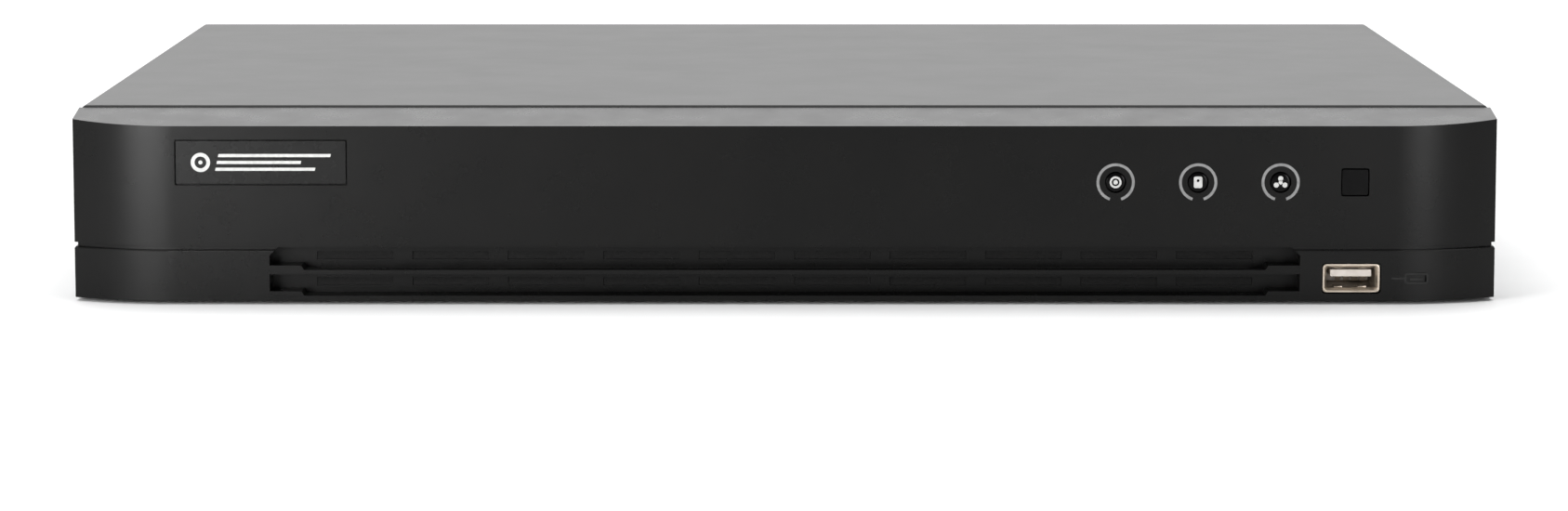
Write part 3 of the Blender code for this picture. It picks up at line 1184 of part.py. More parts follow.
def actuator_arm():
    """The arm that carries the heads between and over the platters, about its pivot."""
    blades = []
    for level in (PLATTER_FIRST_Z, PLATTER_FIRST_Z + PLATTER_PITCH):
        under = level + PLATTER_THICKNESS + ARM_ABOVE_PLATTER
        root, tip = PIVOT_HUB * 0.8, ARM_TIP_WIDTH / 2
        outline = [(0, -root), (ARM_LENGTH, -tip), (ARM_LENGTH, tip), (0, root)]
        blades.append(prism(outline, (under, under + ARM_THICKNESS)))
    coil_z = PLATTER_FIRST_Z + PLATTER_THICKNESS + ARM_ABOVE_PLATTER
    coil = block((-COIL_REACH, 0), (-COIL_WIDTH / 2, COIL_WIDTH / 2), (coil_z, coil_z + 2 * ARM_THICKNESS))
    parked = [turned_by(shape, ARM_PARK_DEG) for shape in (*blades, coil)]
    hub = rod(PIVOT_HUB, (0, PIVOT_HEIGHT - GAP), sides=20)
    clear = (PIVOT_RADIUS + GAP) / math.cos(math.pi / PIVOT_SIDES)
    bore = rod(clear, (-CUTTER_SPARE, PIVOT_HEIGHT + CUTTER_SPARE), sides=PIVOT_SIDES)
    at = (*PIVOT_AT, DRIVE_IN_Z + GAP)
    node("hdd_arm", "cast_aluminium", hub, join(*parked), cut(bore), at=at)


def cooling():
    """The heat sink on the processor, and the fan that stands on it."""
    half = SINK_SIDE / 2
    room = SINK_SIDE - SINK_FIN
    pitch = room / (SINK_FINS - 1)
    fins = [
        block((x - SINK_FIN / 2, x + SINK_FIN / 2), (-half, half), (SINK_BASE / 2, SINK_HEIGHT))
        for x in [pitch * i - room / 2 for i in range(SINK_FINS)]
    ]
    place = (CHIP_X, CHIP_Y)
    base = block((-half, half), (-half, half), (0, SINK_BASE))
    node("heat_sink", "cast_aluminium", base, join(*fins), at=(*place, SINK_Z))

    side = FAN_SIDE / 2
    shaft_top = FAN_HEIGHT - ROTOR_CLEARANCE - ROTOR_WALL - GAP
    frame = block((-side, side), (-side, side), (0, FAN_HEIGHT))
    bore = rod(FAN_BORE, (-CUTTER_SPARE, FAN_HEIGHT + CUTTER_SPARE), sides=32)
    strut = ((0, FAN_BORE + GAP), (-FAN_STRUT / 2, FAN_STRUT / 2), (0, FAN_HUB_THICKNESS))
    struts = [turned_by(block(*strut), 45 + 360 * i / FAN_STRUTS) for i in range(FAN_STRUTS)]
    hub = rod(FAN_HUB_BASE, (0, FAN_HUB_THICKNESS), sides=20)
    shaft = rod(FAN_SHAFT, (0, shaft_top), sides=12)
    at = (*place, FAN_Z)
    node("fan_frame", "black_plastic", frame, cut(bore), join(*struts, hub, shaft), at=at)

    low, top = FAN_HUB_THICKNESS + ROTOR_CLEARANCE, FAN_HEIGHT - ROTOR_CLEARANCE
    under = top - ROTOR_WALL
    clear = (FAN_SHAFT + GAP) / math.cos(math.pi / ROTOR_SIDES)
    inner = ROTOR_HUB - ROTOR_WALL
    profile = [(0, under), (clear, under), (clear, low), (ROTOR_SLEEVE, low), (ROTOR_SLEEVE, under)]
    profile += [(inner, under), (inner, low), (ROTOR_HUB, low), (ROTOR_HUB, top), (0, top)]
    blades = [rotor_blade(360 * i / ROTOR_BLADES, (low + top) / 2) for i in range(ROTOR_BLADES)]
    node("fan_rotor", "black_plastic", turned(profile, ROTOR_SIDES), join(*blades), at=at)


def rotor_blade(degrees, middle_z):
    """One flat blade of the rotor, pitched about its own length and then turned to its place."""
    chord = ROTOR_BLADE_CHORD / 2
    reach = (ROTOR_HUB - ROTOR_WALL / 2, ROTOR_TIP)
    blade = block(reach, (-chord, chord), (-ROTOR_BLADE / 2, ROTOR_BLADE / 2))
    turned_by(blade, ROTOR_PITCH_DEG, axis=X)
    bmesh.ops.translate(blade, verts=blade.verts, vec=Z * middle_z)
    return turned_by(blade, degrees)


def shade_round_pieces():
    """Smooth shading, with sharp edges kept, on every piece."""
    for item in bpy.data.objects:
        if item.type == "MESH" and not item.hide_render:
            item.data.shade_smooth()
            item.data.set_sharp_from_angle(angle=math.radians(35))


def main():
    for old in list(bpy.data.objects):
        bpy.data.objects.remove(old)
    front_bezel()
    front_trim()
    front_electronics()
    chassis()
    cover()
    camera_sockets()
    video_out_socket()
    audio_sockets()
    vga_socket()
    digital_socket()
    terminal()
    network_and_usb()
    power_socket()
    screw("ground_screw", GROUND_HEAD_RADIUS, (GROUND_X, PANEL_Y + GAP, GROUND_Z), "black_paint")
    main_board()
    ribbon_cable()
    drive_cable()
    disk_drive()
    cooling()
    shade_round_pieces()


main()
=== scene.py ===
"""The looks of a thirty-two channel video recorder, built round its fixed frame.

Sizes in the classes are in millimetres, and the scene is in metres. The front faces -Y and +Z is
up. Every place on the recorder comes from the boxes of the frame's nodes.
"""

import logging
import math
from collections.abc import Iterable, Sequence
from dataclasses import dataclass, field
from enum import Enum

import bmesh
import bpy
from mathutils import Matrix, Vector
from mathutils.geometry import tessellate_polygon


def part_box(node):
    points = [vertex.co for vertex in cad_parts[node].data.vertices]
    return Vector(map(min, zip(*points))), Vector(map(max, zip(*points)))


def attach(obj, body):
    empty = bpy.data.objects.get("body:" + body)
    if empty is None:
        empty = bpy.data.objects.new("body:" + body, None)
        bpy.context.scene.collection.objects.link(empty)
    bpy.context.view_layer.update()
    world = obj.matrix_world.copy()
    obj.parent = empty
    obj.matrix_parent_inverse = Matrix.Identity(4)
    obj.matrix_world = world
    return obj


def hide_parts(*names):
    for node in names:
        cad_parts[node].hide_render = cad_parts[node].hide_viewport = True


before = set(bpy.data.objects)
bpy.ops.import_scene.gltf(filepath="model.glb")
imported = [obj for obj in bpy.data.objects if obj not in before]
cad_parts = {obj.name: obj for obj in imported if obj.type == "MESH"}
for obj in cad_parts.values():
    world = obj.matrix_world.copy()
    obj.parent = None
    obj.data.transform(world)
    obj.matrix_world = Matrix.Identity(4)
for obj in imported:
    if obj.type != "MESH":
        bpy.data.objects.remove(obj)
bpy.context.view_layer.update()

MM = 0.001
GAP = 0.3  # clearance between pieces that rest on each other
SPARE = 3.0  # how far a cutter runs past the wall it cuts
LOG = logging.getLogger("recorder")

Point = tuple[float, float]
Place = tuple[float, float, float]
Span = tuple[float, float]
Colour = tuple[float, float, float]
Shape = bmesh.types.BMesh


class Axis(Enum):
    """The direction that a shape is extruded or turned along."""

    X = (1.0, 0.0, 0.0)
    Y = (0.0, 1.0, 0.0)
    Z = (0.0, 0.0, 1.0)

    def vector(self) -> Vector:
        """The axis as a vector."""
        return Vector(self.value)

    def place(self, point: Point, along: float) -> Place:
        """The point of space at a distance along the axis, from a point of the plane across it."""
        if self is Axis.X:
            return (along, point[0], point[1])
        if self is Axis.Y:
            return (point[0], along, point[1])
        return (point[0], point[1], along)


class Body(Enum):
    """The bodies of the frame that pieces ride on."""

    CASE = "case"
    BUTTON_1 = "button_1"
    BUTTON_2 = "button_2"


class Slot(Enum):
    """The material slots."""

    COVER_PAINT = "cover_paint"
    SCREW_BLACK = "screw_black"
    BEZEL_PLASTIC = "bezel_plastic"
    SMOKED_PLASTIC = "smoked_plastic"
    PANEL_STEEL = "panel_steel"
    CONNECTOR_NICKEL = "connector_nickel"
    CONNECTOR_STEEL = "connector_steel"
    INSULATOR_WHITE = "insulator_white"
    INSERT_RED = "insert_red"
    INSULATOR_BLUE = "insulator_blue"
    SOCKET_BLACK = "socket_black"
    TERMINAL_GREEN = "terminal_green"
    BUTTON_ORANGE = "button_orange"
    BOARD_GREEN = "board_green"
    FOOT_RUBBER = "foot_rubber"
    CAST_ALUMINIUM = "cast_aluminium"
    DRIVE_STEEL = "drive_steel"
    CABLE_RED = "cable_red"
    RIBBON_GREY = "ribbon_grey"


# Finishes ----------------------------------------------------------------------------------------


class NodeSheet:
    """A material's node tree while it is being drawn."""

    def __init__(self, name: str) -> None:
        """Starts an empty material with a surface shader.

        Args:
            name: The material's name.
        """
        self.material = bpy.data.materials.new(name)
        self.material.use_nodes = True
        self.tree = self.material.node_tree
        self.shader = self.tree.nodes["Principled BSDF"]
        self.point = self.tree.nodes.new("ShaderNodeTexCoord").outputs["Object"]

    def add(self, kind: str, **inputs: object) -> bpy.types.Node:
        """Adds a node and sets or links its inputs.

        Args:
            kind: The node's type, without its ShaderNode prefix.
            inputs: Values or sockets by input name, with underscores for spaces.

        Returns:
            The new node.
        """
        made = self.tree.nodes.new("ShaderNode" + kind)
        for key, value in inputs.items():
            socket = made.inputs[key.replace("_", " ")]
            if isinstance(value, bpy.types.NodeSocket):
                self.tree.links.new(value, socket)
            else:
                socket.default_value = value
        return made

    def stretched(self, scale: Place) -> bpy.types.NodeSocket:
        """The surface's own coordinates, scaled by an amount along each axis."""
        return self.add("Mapping", Vector=self.point, Scale=scale).outputs["Vector"]

    def noise(self, grain_mm: float, stretch: Place = (1.0, 1.0, 1.0), detail: float = 3.0) -> bpy.types.NodeSocket:
        """Smooth noise with grains of a real size.

        Args:
            grain_mm: The size of one grain.
            stretch: How many times finer the noise is along each axis.
            detail: How many finer layers it has.

        Returns:
            The noise, from 0 to 1.
        """
        vector = self.stretched(stretch)
        made = self.add("TexNoise", Vector=vector, Scale=1.0 / (grain_mm * MM), Detail=detail, Roughness=0.55)
        return made.outputs[0]

    def ramp(self, factor: bpy.types.NodeSocket, stops: Sequence[tuple[float, Colour]]) -> bpy.types.NodeSocket:
        """Colours laid out along a factor.

        Args:
            factor: The value that chooses the colour.
            stops: Each place from 0 to 1 and the colour there.

        Returns:
            The colour.
        """
        made = self.add("ValToRGB", Fac=factor)
        line = made.color_ramp
        while len(line.elements) < len(stops):
            line.elements.new(0.5)
        for element, (place, colour) in zip(line.elements, stops):
            element.position = place
            element.color = (*colour, 1.0)
        return made.outputs["Color"]

    def spread(self, factor: bpy.types.NodeSocket, low: float, high: float) -> bpy.types.NodeSocket:
        """A factor's middle part, spread over the range from low to high."""
        made = self.add("MapRange", Value=factor, From_Min=0.3, From_Max=0.7, To_Min=low, To_Max=high)
        return made.outputs["Result"]

    def link(self, source: bpy.types.NodeSocket, name: str) -> None:
        """Links a value to one of the shader's inputs."""
        self.tree.links.new(source, self.shader.inputs[name])

    def set(self, **inputs: object) -> None:
        """Sets constant values on the shader's own inputs."""
        for key, value in inputs.items():
            self.shader.inputs[key.replace("_", " ")].default_value = value

    def relief(self, height: bpy.types.NodeSocket, depth_mm: float, strength: float = 1.0) -> None:
        """Gives the surface a fine relief.

        Args:
            height: The relief's height, from 0 to 1.
            depth_mm: How deep it is in millimetres.
            strength: How much of it the light sees.
        """
        made = self.add("Bump", Height=height, Distance=depth_mm * MM, Strength=strength)
        self.link(made.outputs["Normal"], "Normal")


@dataclass(frozen=True)
class Finish:
    """A surface finish of one slot: two close colours, a range of gloss and a fine relief."""

    name: str
    slot: Slot
    colour: Colour
    second: Colour
    gloss: Span = (0.4, 0.5)
    patch_mm: float = 9.0
    grain_mm: float = 0.2
    relief_mm: float = 0.004
    stretch: Place = (1.0, 1.0, 1.0)
    metallic: float = 0.0
    specular: float = 0.5

    def material(self) -> bpy.types.Material:
        """The finish's material, made once and then used again."""
        known = bpy.data.materials.get(self.name)
        if known is not None:
            return known
        sheet = NodeSheet(self.name)
        self.colour_in(sheet)
        self.gloss_in(sheet)
        self.relief_in(sheet)
        sheet.set(Metallic=self.metallic, Specular_IOR_Level=self.specular)
        return sheet.material

    def colour_in(self, sheet: NodeSheet) -> None:
        """Draws the colour: soft patches of the second colour in the first."""
        patches = sheet.noise(self.patch_mm, self.stretch)
        sheet.link(sheet.ramp(patches, ((0.35, self.colour), (0.65, self.second))), "Base Color")

    def gloss_in(self, sheet: NodeSheet) -> None:
        """Draws the gloss: slow changes, as handling and moulding leave."""
        rubbed = sheet.noise(self.patch_mm * 0.6, self.stretch, 4.0)
        sheet.link(sheet.spread(rubbed, *self.gloss), "Roughness")

    def relief_in(self, sheet: NodeSheet) -> None:
        """Draws the fine relief of the surface."""
        sheet.relief(sheet.noise(self.grain_mm, self.stretch, 2.0), self.relief_mm)


@dataclass(frozen=True)
class BrushedFinish(Finish):
    """Sheet or turned metal, with fine lines along one direction and cloudy plating."""

    cloud_mm: float = 30.0

    def colour_in(self, sheet: NodeSheet) -> None:
        """Draws the colour: fine lines over the clouds that plating leaves."""
        lines = sheet.noise(self.patch_mm, self.stretch, 2.0)
        clouds = sheet.noise(self.cloud_mm, detail=4.0)
        both = sheet.add("Math", Value=lines)
        both.operation = "MULTIPLY_ADD"
        both.inputs[1].default_value = 0.45
        halved = sheet.add("Math", Value=clouds)
        halved.operation = "MULTIPLY"
        halved.inputs[1].default_value = 0.55
        sheet.tree.links.new(halved.outputs[0], both.inputs[2])
        sheet.link(sheet.ramp(both.outputs[0], ((0.36, self.colour), (0.64, self.second))), "Base Color")


@dataclass(frozen=True)
class BoardFinish(Finish):
    """A printed circuit board: solder mask over copper tracks, with tinned pads."""

    track_mm: float = 2.6

    def colour_in(self, sheet: NodeSheet) -> None:
        """Draws the solder mask, a little lighter over the tracks, and the tinned pads."""
        tracks = sheet.add("TexBrick", Vector=sheet.stretched((1.0, 1.0, 1.0)), Scale=1.0 / (self.track_mm * MM))
        tracks.offset = 0.31
        tracks.squash = 1.6
        tracks.inputs["Color1"].default_value = (*self.colour, 1.0)
        tracks.inputs["Color2"].default_value = (*self.second, 1.0)
        tracks.inputs["Mortar"].default_value = (0.02, 0.16, 0.07, 1.0)
        tracks.inputs["Mortar Size"].default_value = 0.05
        pads = sheet.add("TexVoronoi", Vector=sheet.point, Scale=1.0 / (3.4 * MM), Randomness=0.8)
        edge = {"From_Min": 0.10, "From_Max": 0.14, "To_Min": 1.0, "To_Max": 0.0}
        mask = sheet.add("MapRange", Value=pads.outputs["Distance"], **edge)
        mixed = sheet.tree.nodes.new("ShaderNodeMixRGB")
        sheet.tree.links.new(mask.outputs["Result"], mixed.inputs["Fac"])
        sheet.tree.links.new(tracks.outputs["Color"], mixed.inputs["Color1"])
        mixed.inputs["Color2"].default_value = (0.62, 0.62, 0.58, 1.0)
        sheet.link(mixed.outputs["Color"], "Base Color")


@dataclass(frozen=True)
class RibbonFinish(Finish):
    """A flat cable: side-by-side cores."""

    core_mm: float = 1.27

    def colour_in(self, sheet: NodeSheet) -> None:
        """Draws the cores as lines along the cable."""
        cores = sheet.add("TexWave", Vector=sheet.point, Scale=1.0 / (self.core_mm * MM) / math.tau * 2.0)
        cores.bands_direction = "X"
        sheet.link(sheet.ramp(cores.outputs["Fac"], ((0.1, self.second), (0.5, self.colour))), "Base Color")


COVER_PAINT = Finish(
    "satin_black_paint", Slot.COVER_PAINT, (0.0090, 0.0092, 0.0088), (0.0104, 0.0106, 0.0100),
    gloss=(0.415, 0.435), patch_mm=34.0, grain_mm=0.42, relief_mm=0.005, specular=0.34,
)
SCREW_BLACK = Finish(
    "blackened_screw", Slot.SCREW_BLACK, (0.012, 0.012, 0.012), (0.030, 0.030, 0.029),
    gloss=(0.30, 0.48), patch_mm=1.6, grain_mm=0.25, relief_mm=0.01, metallic=0.35,
)
BEZEL_PLASTIC = Finish(
    "moulded_black_plastic", Slot.BEZEL_PLASTIC, (0.0026, 0.0026, 0.0025), (0.0034, 0.0033, 0.0031),
    gloss=(0.26, 0.31), patch_mm=18.0, grain_mm=0.22, relief_mm=0.004, specular=0.155,
)
SMOKED_PLASTIC = Finish(
    "smoked_gloss_plastic", Slot.SMOKED_PLASTIC, (0.0012, 0.0011, 0.0012), (0.0022, 0.0020, 0.0021),
    gloss=(0.16, 0.24), patch_mm=5.0, grain_mm=0.5, relief_mm=0.001, specular=0.09,
)
BADGE_LACQUER = Finish(
    "badge_lacquer", Slot.SMOKED_PLASTIC, (0.0044, 0.0044, 0.0043), (0.0056, 0.0056, 0.0054),
    gloss=(0.24, 0.30), patch_mm=8.0, grain_mm=0.35, relief_mm=0.002, specular=0.17,
)
GREY_INK = Finish(
    "grey_ring_print", Slot.INSULATOR_WHITE, (0.17, 0.17, 0.17), (0.22, 0.22, 0.22),
    gloss=(0.45, 0.60), patch_mm=1.2, grain_mm=0.1, relief_mm=0.002,
)
FAINT_INK = Finish(
    "faint_print", Slot.BEZEL_PLASTIC, (0.011, 0.011, 0.011), (0.016, 0.016, 0.015),
    gloss=(0.45, 0.60), patch_mm=1.6, grain_mm=0.1, relief_mm=0.002, specular=0.2,
)
DUST_GAUZE = Finish(
    "dust_gauze", Slot.BEZEL_PLASTIC, (0.0030, 0.0030, 0.0029), (0.0055, 0.0054, 0.0052),
    gloss=(0.55, 0.70), patch_mm=0.9, grain_mm=0.35, relief_mm=0.08, specular=0.155,
)
PANEL_STEEL = BrushedFinish(
    "zinc_plated_sheet", Slot.PANEL_STEEL, (0.50, 0.53, 0.525), (0.58, 0.605, 0.60),
    gloss=(0.42, 0.54), patch_mm=1.3, grain_mm=0.5, relief_mm=0.003, stretch=(0.03, 1.0, 1.0),
    metallic=0.55, cloud_mm=14.0,
)
CONNECTOR_NICKEL = BrushedFinish(
    "turned_nickel", Slot.CONNECTOR_NICKEL, (0.40, 0.355, 0.235), (0.54, 0.49, 0.35),
    gloss=(0.20, 0.34), patch_mm=0.5, grain_mm=0.16, relief_mm=0.004, stretch=(0.08, 1.0, 0.08),
    metallic=1.0, cloud_mm=3.5,
)
CONNECTOR_STEEL = BrushedFinish(
    "tinned_steel", Slot.CONNECTOR_STEEL, (0.62, 0.62, 0.60), (0.76, 0.76, 0.74),
    gloss=(0.24, 0.38), patch_mm=0.7, grain_mm=0.3, relief_mm=0.003, stretch=(1.0, 1.0, 0.1),
    metallic=0.9, cloud_mm=5.0,
)
INSULATOR_WHITE = Finish(
    "cream_insulator", Slot.INSULATOR_WHITE, (0.70, 0.64, 0.50), (0.78, 0.72, 0.58),
    gloss=(0.28, 0.40), patch_mm=2.0,
)
WHITE_INK = Finish(
    "white_print", Slot.INSULATOR_WHITE, (0.44, 0.44, 0.43), (0.52, 0.52, 0.51),
    gloss=(0.45, 0.60), patch_mm=1.2, grain_mm=0.1, relief_mm=0.002,
)
PORT_IVORY = Finish(
    "ivory_tongue", Slot.INSULATOR_WHITE, (0.52, 0.47, 0.42), (0.60, 0.55, 0.50),
    gloss=(0.30, 0.42), patch_mm=2.4,
)
PORT_BRASS = BrushedFinish(
    "warm_plated_steel", Slot.CONNECTOR_STEEL, (0.42, 0.36, 0.29), (0.56, 0.49, 0.41),
    gloss=(0.26, 0.38), patch_mm=0.7, grain_mm=0.3, relief_mm=0.003, stretch=(0.1, 1.0, 1.0),
    metallic=0.9, cloud_mm=4.0,
)
INSERT_RED = Finish(
    "red_insert", Slot.INSERT_RED, (0.60, 0.035, 0.030), (0.70, 0.055, 0.045),
    gloss=(0.25, 0.38), patch_mm=2.0,
)
INSULATOR_BLUE = Finish(
    "blue_insulator", Slot.INSULATOR_BLUE, (0.012, 0.20, 0.60), (0.018, 0.26, 0.70),
    gloss=(0.28, 0.42), patch_mm=3.0,
)
TONGUE_BLUE = Finish(
    "blue_tongue", Slot.INSULATOR_BLUE, (0.010, 0.085, 0.36), (0.015, 0.12, 0.45),
    gloss=(0.28, 0.42), patch_mm=3.0,
)
SOCKET_BLACK = Finish(
    "black_socket_moulding", Slot.SOCKET_BLACK, (0.011, 0.012, 0.012), (0.017, 0.018, 0.018),
    gloss=(0.38, 0.50), patch_mm=3.0, grain_mm=0.18, relief_mm=0.006,
)
# black print; on the rear panel its bars also paint the shadow in the gap beside and above the network housing
BLACK_INK_AND_GAP_SHADE = Finish(
    "black_print_and_gap_shade", Slot.SOCKET_BLACK, (0.012, 0.014, 0.013), (0.022, 0.024, 0.022),
    gloss=(0.50, 0.65), patch_mm=1.4, grain_mm=0.1, relief_mm=0.002, specular=0.3,
)
TERMINAL_GREEN = Finish(
    "green_terminal", Slot.TERMINAL_GREEN, (0.17, 0.43, 0.13), (0.21, 0.50, 0.16),
    gloss=(0.35, 0.48), patch_mm=3.0, grain_mm=0.2, relief_mm=0.006,
)
BUTTON_ORANGE = Finish(
    "orange_button", Slot.BUTTON_ORANGE, (0.84, 0.19, 0.045), (0.92, 0.25, 0.07),
    gloss=(0.32, 0.44), patch_mm=2.0, grain_mm=0.2, relief_mm=0.005,
)
BOARD_GREEN = BoardFinish(
    "green_board", Slot.BOARD_GREEN, (0.008, 0.075, 0.035), (0.012, 0.10, 0.045),
    gloss=(0.30, 0.42), patch_mm=4.0, grain_mm=0.5, relief_mm=0.02,
)
FOOT_RUBBER = Finish(
    "foot_rubber", Slot.FOOT_RUBBER, (0.016, 0.016, 0.016), (0.026, 0.026, 0.025),
    gloss=(0.68, 0.84), patch_mm=3.0, grain_mm=0.35, relief_mm=0.03, specular=0.35,
)
CAST_ALUMINIUM = Finish(
    "cast_aluminium", Slot.CAST_ALUMINIUM, (0.50, 0.51, 0.52), (0.62, 0.63, 0.64),
    gloss=(0.42, 0.58), patch_mm=5.0, grain_mm=0.45, relief_mm=0.03, metallic=0.9,
)
DRIVE_STEEL = BrushedFinish(
    "drive_steel", Slot.DRIVE_STEEL, (0.34, 0.35, 0.36), (0.46, 0.47, 0.48),
    gloss=(0.22, 0.34), patch_mm=0.9, grain_mm=0.4, relief_mm=0.002, stretch=(0.05, 1.0, 1.0),
    metallic=1.0, cloud_mm=16.0,
)
CABLE_RED = Finish(
    "red_cable", Slot.CABLE_RED, (0.42, 0.02, 0.02), (0.52, 0.035, 0.03),
    gloss=(0.35, 0.48), patch_mm=4.0, grain_mm=0.5, relief_mm=0.01,
)
RIBBON_GREY = RibbonFinish(
    "ribbon_cable", Slot.RIBBON_GREY, (0.40, 0.41, 0.43), (0.20, 0.205, 0.215),
    gloss=(0.42, 0.55), patch_mm=3.0, grain_mm=0.6, relief_mm=0.03, stretch=(1.0, 0.05, 0.05),
)
CAPTION_INK = Finish(
    "grey_print", Slot.SOCKET_BLACK, (0.13, 0.14, 0.14), (0.19, 0.20, 0.20),
    gloss=(0.50, 0.65), patch_mm=1.0, grain_mm=0.1, relief_mm=0.002,
)
# a darkened copy of the plated contacts: painted shade on contacts that sit deep inside their holes
CONTACT_IN_PAINTED_SHADE = Finish(
    "shaded_contact", Slot.CONNECTOR_NICKEL, (0.10, 0.075, 0.035), (0.16, 0.12, 0.06),
    gloss=(0.30, 0.45), patch_mm=0.6, metallic=0.9,
)
AUDIO_WHITE = Finish(
    "white_insert", Slot.INSULATOR_WHITE, (0.80, 0.80, 0.77), (0.86, 0.86, 0.84),
    gloss=(0.25, 0.38), patch_mm=2.0,
)
CONTACT_GOLD = Finish(
    "gold_contact", Slot.CONNECTOR_NICKEL, (0.72, 0.50, 0.20), (0.82, 0.60, 0.28),
    gloss=(0.20, 0.32), patch_mm=0.8, grain_mm=0.2, relief_mm=0.003, metallic=1.0,
)


# Shapes ------------------------------------------------------------------------------------------


@dataclass(frozen=True)
class Box:
    """The box round a node of the frame, in millimetres."""

    low: Vector
    high: Vector

    @classmethod
    def of(cls, node: str) -> "Box":
        """The box round a node, by the node's name."""
        low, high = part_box(node)
        return cls(low / MM, high / MM)

    @property
    def centre(self) -> Vector:
        """The middle of the box."""
        return (self.low + self.high) / 2

    @property
    def size(self) -> Vector:
        """The box's width, depth and height."""
        return self.high - self.low

    def face(self, grow: float = 0.0) -> list[Point]:
        """The corners of the box seen from the front, grown by an amount all round."""
        return rectangle((self.centre.x, self.centre.z), (self.size.x + 2 * grow, self.size.z + 2 * grow))


def block(x: Span, y: Span, z: Span) -> Shape:
    """A box over three ranges.

    Args:
        x: Its two ends along X.
        y: Its two ends along Y.
        z: Its two ends along Z.

    Returns:
        The box.
    """
    shape = bmesh.new()
    centre = Vector([(ends[0] + ends[1]) / 2 for ends in (x, y, z)])
    size = Vector([abs(ends[1] - ends[0]) for ends in (x, y, z)])
    bmesh.ops.create_cube(shape, size=1, matrix=Matrix.Translation(centre) @ Matrix.Diagonal(size).to_4x4())
    return shape


def around(centre: Place, size: Place) -> Shape:
    """A box with a middle and a width, depth and height."""
    return block(*[(c - s / 2, c + s / 2) for c, s in zip(centre, size)])


def rectangle(centre: Point, size: Point) -> list[Point]:
    """The four corners, in order, of a rectangle with a middle and two sides."""
    (x, z), (wide, high) = centre, (size[0] / 2, size[1] / 2)
    return [(x - wide, z - high), (x + wide, z - high), (x + wide, z + high), (x - wide, z + high)]


def circle(centre: Point, radius: float, sides: int = 32) -> list[Point]:
    """The points, in order, round a circle with a middle and a radius."""
    return sweep(centre, radius, 0.0, 360.0 * (sides - 1) / sides, sides)


def sweep(centre: Point, radius: float, start: float, end: float, points: int) -> list[Point]:
    """The points, in order, along an arc from a start to an end in degrees."""
    turns = [math.radians(start + (end - start) * i / (points - 1)) for i in range(points)]
    return [(centre[0] + radius * math.cos(a), centre[1] + radius * math.sin(a)) for a in turns]


def softened(outline: Sequence[Point], reach: float, steps: int = 4) -> list[Point]:
    """A closed outline with its corners rounded off, apart from those that lie on its first axis.

    Args:
        outline: The corners, in order.
        reach: How far from each corner its rounding starts.
        steps: How many lines each rounding has.

    Returns:
        The new outline.
    """
    rounded: list[Point] = []
    corners = [Vector(p) for p in outline]
    for before, corner, after in zip(corners[-1:] + corners[:-1], corners, corners[1:] + corners[:1]):
        back, on = before - corner, after - corner
        if abs(corner.x) < 1e-9 or back.length < 1e-6 or on.length < 1e-6:
            rounded.append(tuple(corner))
            continue
        cut = min(reach, 0.45 * back.length, 0.45 * on.length)
        start, end = corner + back.normalized() * cut, corner + on.normalized() * cut
        for i in range(steps + 1):
            t = i / steps
            rounded.append(tuple(start * (1 - t) ** 2 + corner * 2 * t * (1 - t) + end * t * t))
    return rounded


def evenly(middle: float, pitch: float, count: int) -> list[float]:
    """Places a pitch apart, spread round a middle."""
    return [middle + pitch * (i + 0.5 - count / 2) for i in range(count)]


def prism(outline: Sequence[Point], ends: Span, axis: Axis = Axis.Y) -> Shape:
    """The solid that an outline makes when it is extruded between two ends along an axis."""
    return plate(outline, (), ends, axis)


def plate(outline: Sequence[Point], holes: Iterable[Sequence[Point]], ends: Span, axis: Axis = Axis.Y) -> Shape:
    """A flat plate with holes, extruded along an axis.

    Args:
        outline: Its outer edge.
        holes: The edge of each hole.
        ends: Where it starts and ends along the axis.
        axis: The axis.

    Returns:
        The solid.
    """
    loops = [list(outline), *[list(hole) for hole in holes]]
    shape = bmesh.new()
    rings = [[[shape.verts.new(axis.place(p, end)) for p in loop] for loop in loops] for end in ends]
    for first, second in zip(*rings):
        for i, corner in enumerate(first):
            j = (i + 1) % len(first)
            shape.faces.new((corner, first[j], second[j], second[i]))
    if len(loops) == 1:
        for ring in rings:
            shape.faces.new(ring[0])
    else:
        triangles = tessellate_polygon([[Vector((*p, 0.0)) for p in loop] for loop in loops])
        for ring in rings:
            flat = [corner for loop in ring for corner in loop]
            for corners in triangles:
                if len(set(corners)) == 3:
                    shape.faces.new([flat[i] for i in corners])
    bmesh.ops.recalc_face_normals(shape, faces=shape.faces)
    return shape


def pipe(outer: Sequence[Point], inner: Sequence[Point], ends: Span) -> Shape:
    """The wall between an outer and an inner outline, extruded along Y."""
    return plate(outer, (inner[::-1],), ends)


def turned(profile: Sequence[Point], sides: int = 32, at: Place = (0, 0, 0), axis: Axis = Axis.Y) -> Shape:
    """A closed profile spun round an axis.

    Args:
        profile: Its corners, as radius and distance along the axis.
        sides: How many sides the turned shape has.
        at: A point of the axis.
        axis: The axis.

    Returns:
        The solid.
    """
    shape = bmesh.new()
    points = [shape.verts.new((radius, 0, along)) for radius, along in profile]
    edges = [shape.edges.new((a, b)) for a, b in zip(points, points[1:] + points[:1])]
    up = Vector((0, 0, 1))
    bmesh.ops.spin(
        shape, geom=points + edges, cent=(0, 0, 0), axis=up, angle=math.tau, steps=sides, use_merge=True
    )
    bmesh.ops.remove_doubles(shape, verts=shape.verts, dist=1e-4)
    bmesh.ops.dissolve_degenerate(shape, edges=shape.edges, dist=1e-4)
    bmesh.ops.delete(shape, geom=[e for e in shape.edges if not e.link_faces], context="EDGES")
    turn = up.rotation_difference(axis.vector()).to_matrix().to_4x4()
    bmesh.ops.transform(shape, matrix=Matrix.Translation(at) @ turn, verts=shape.verts)
    bmesh.ops.recalc_face_normals(shape, faces=shape.faces)
    return shape


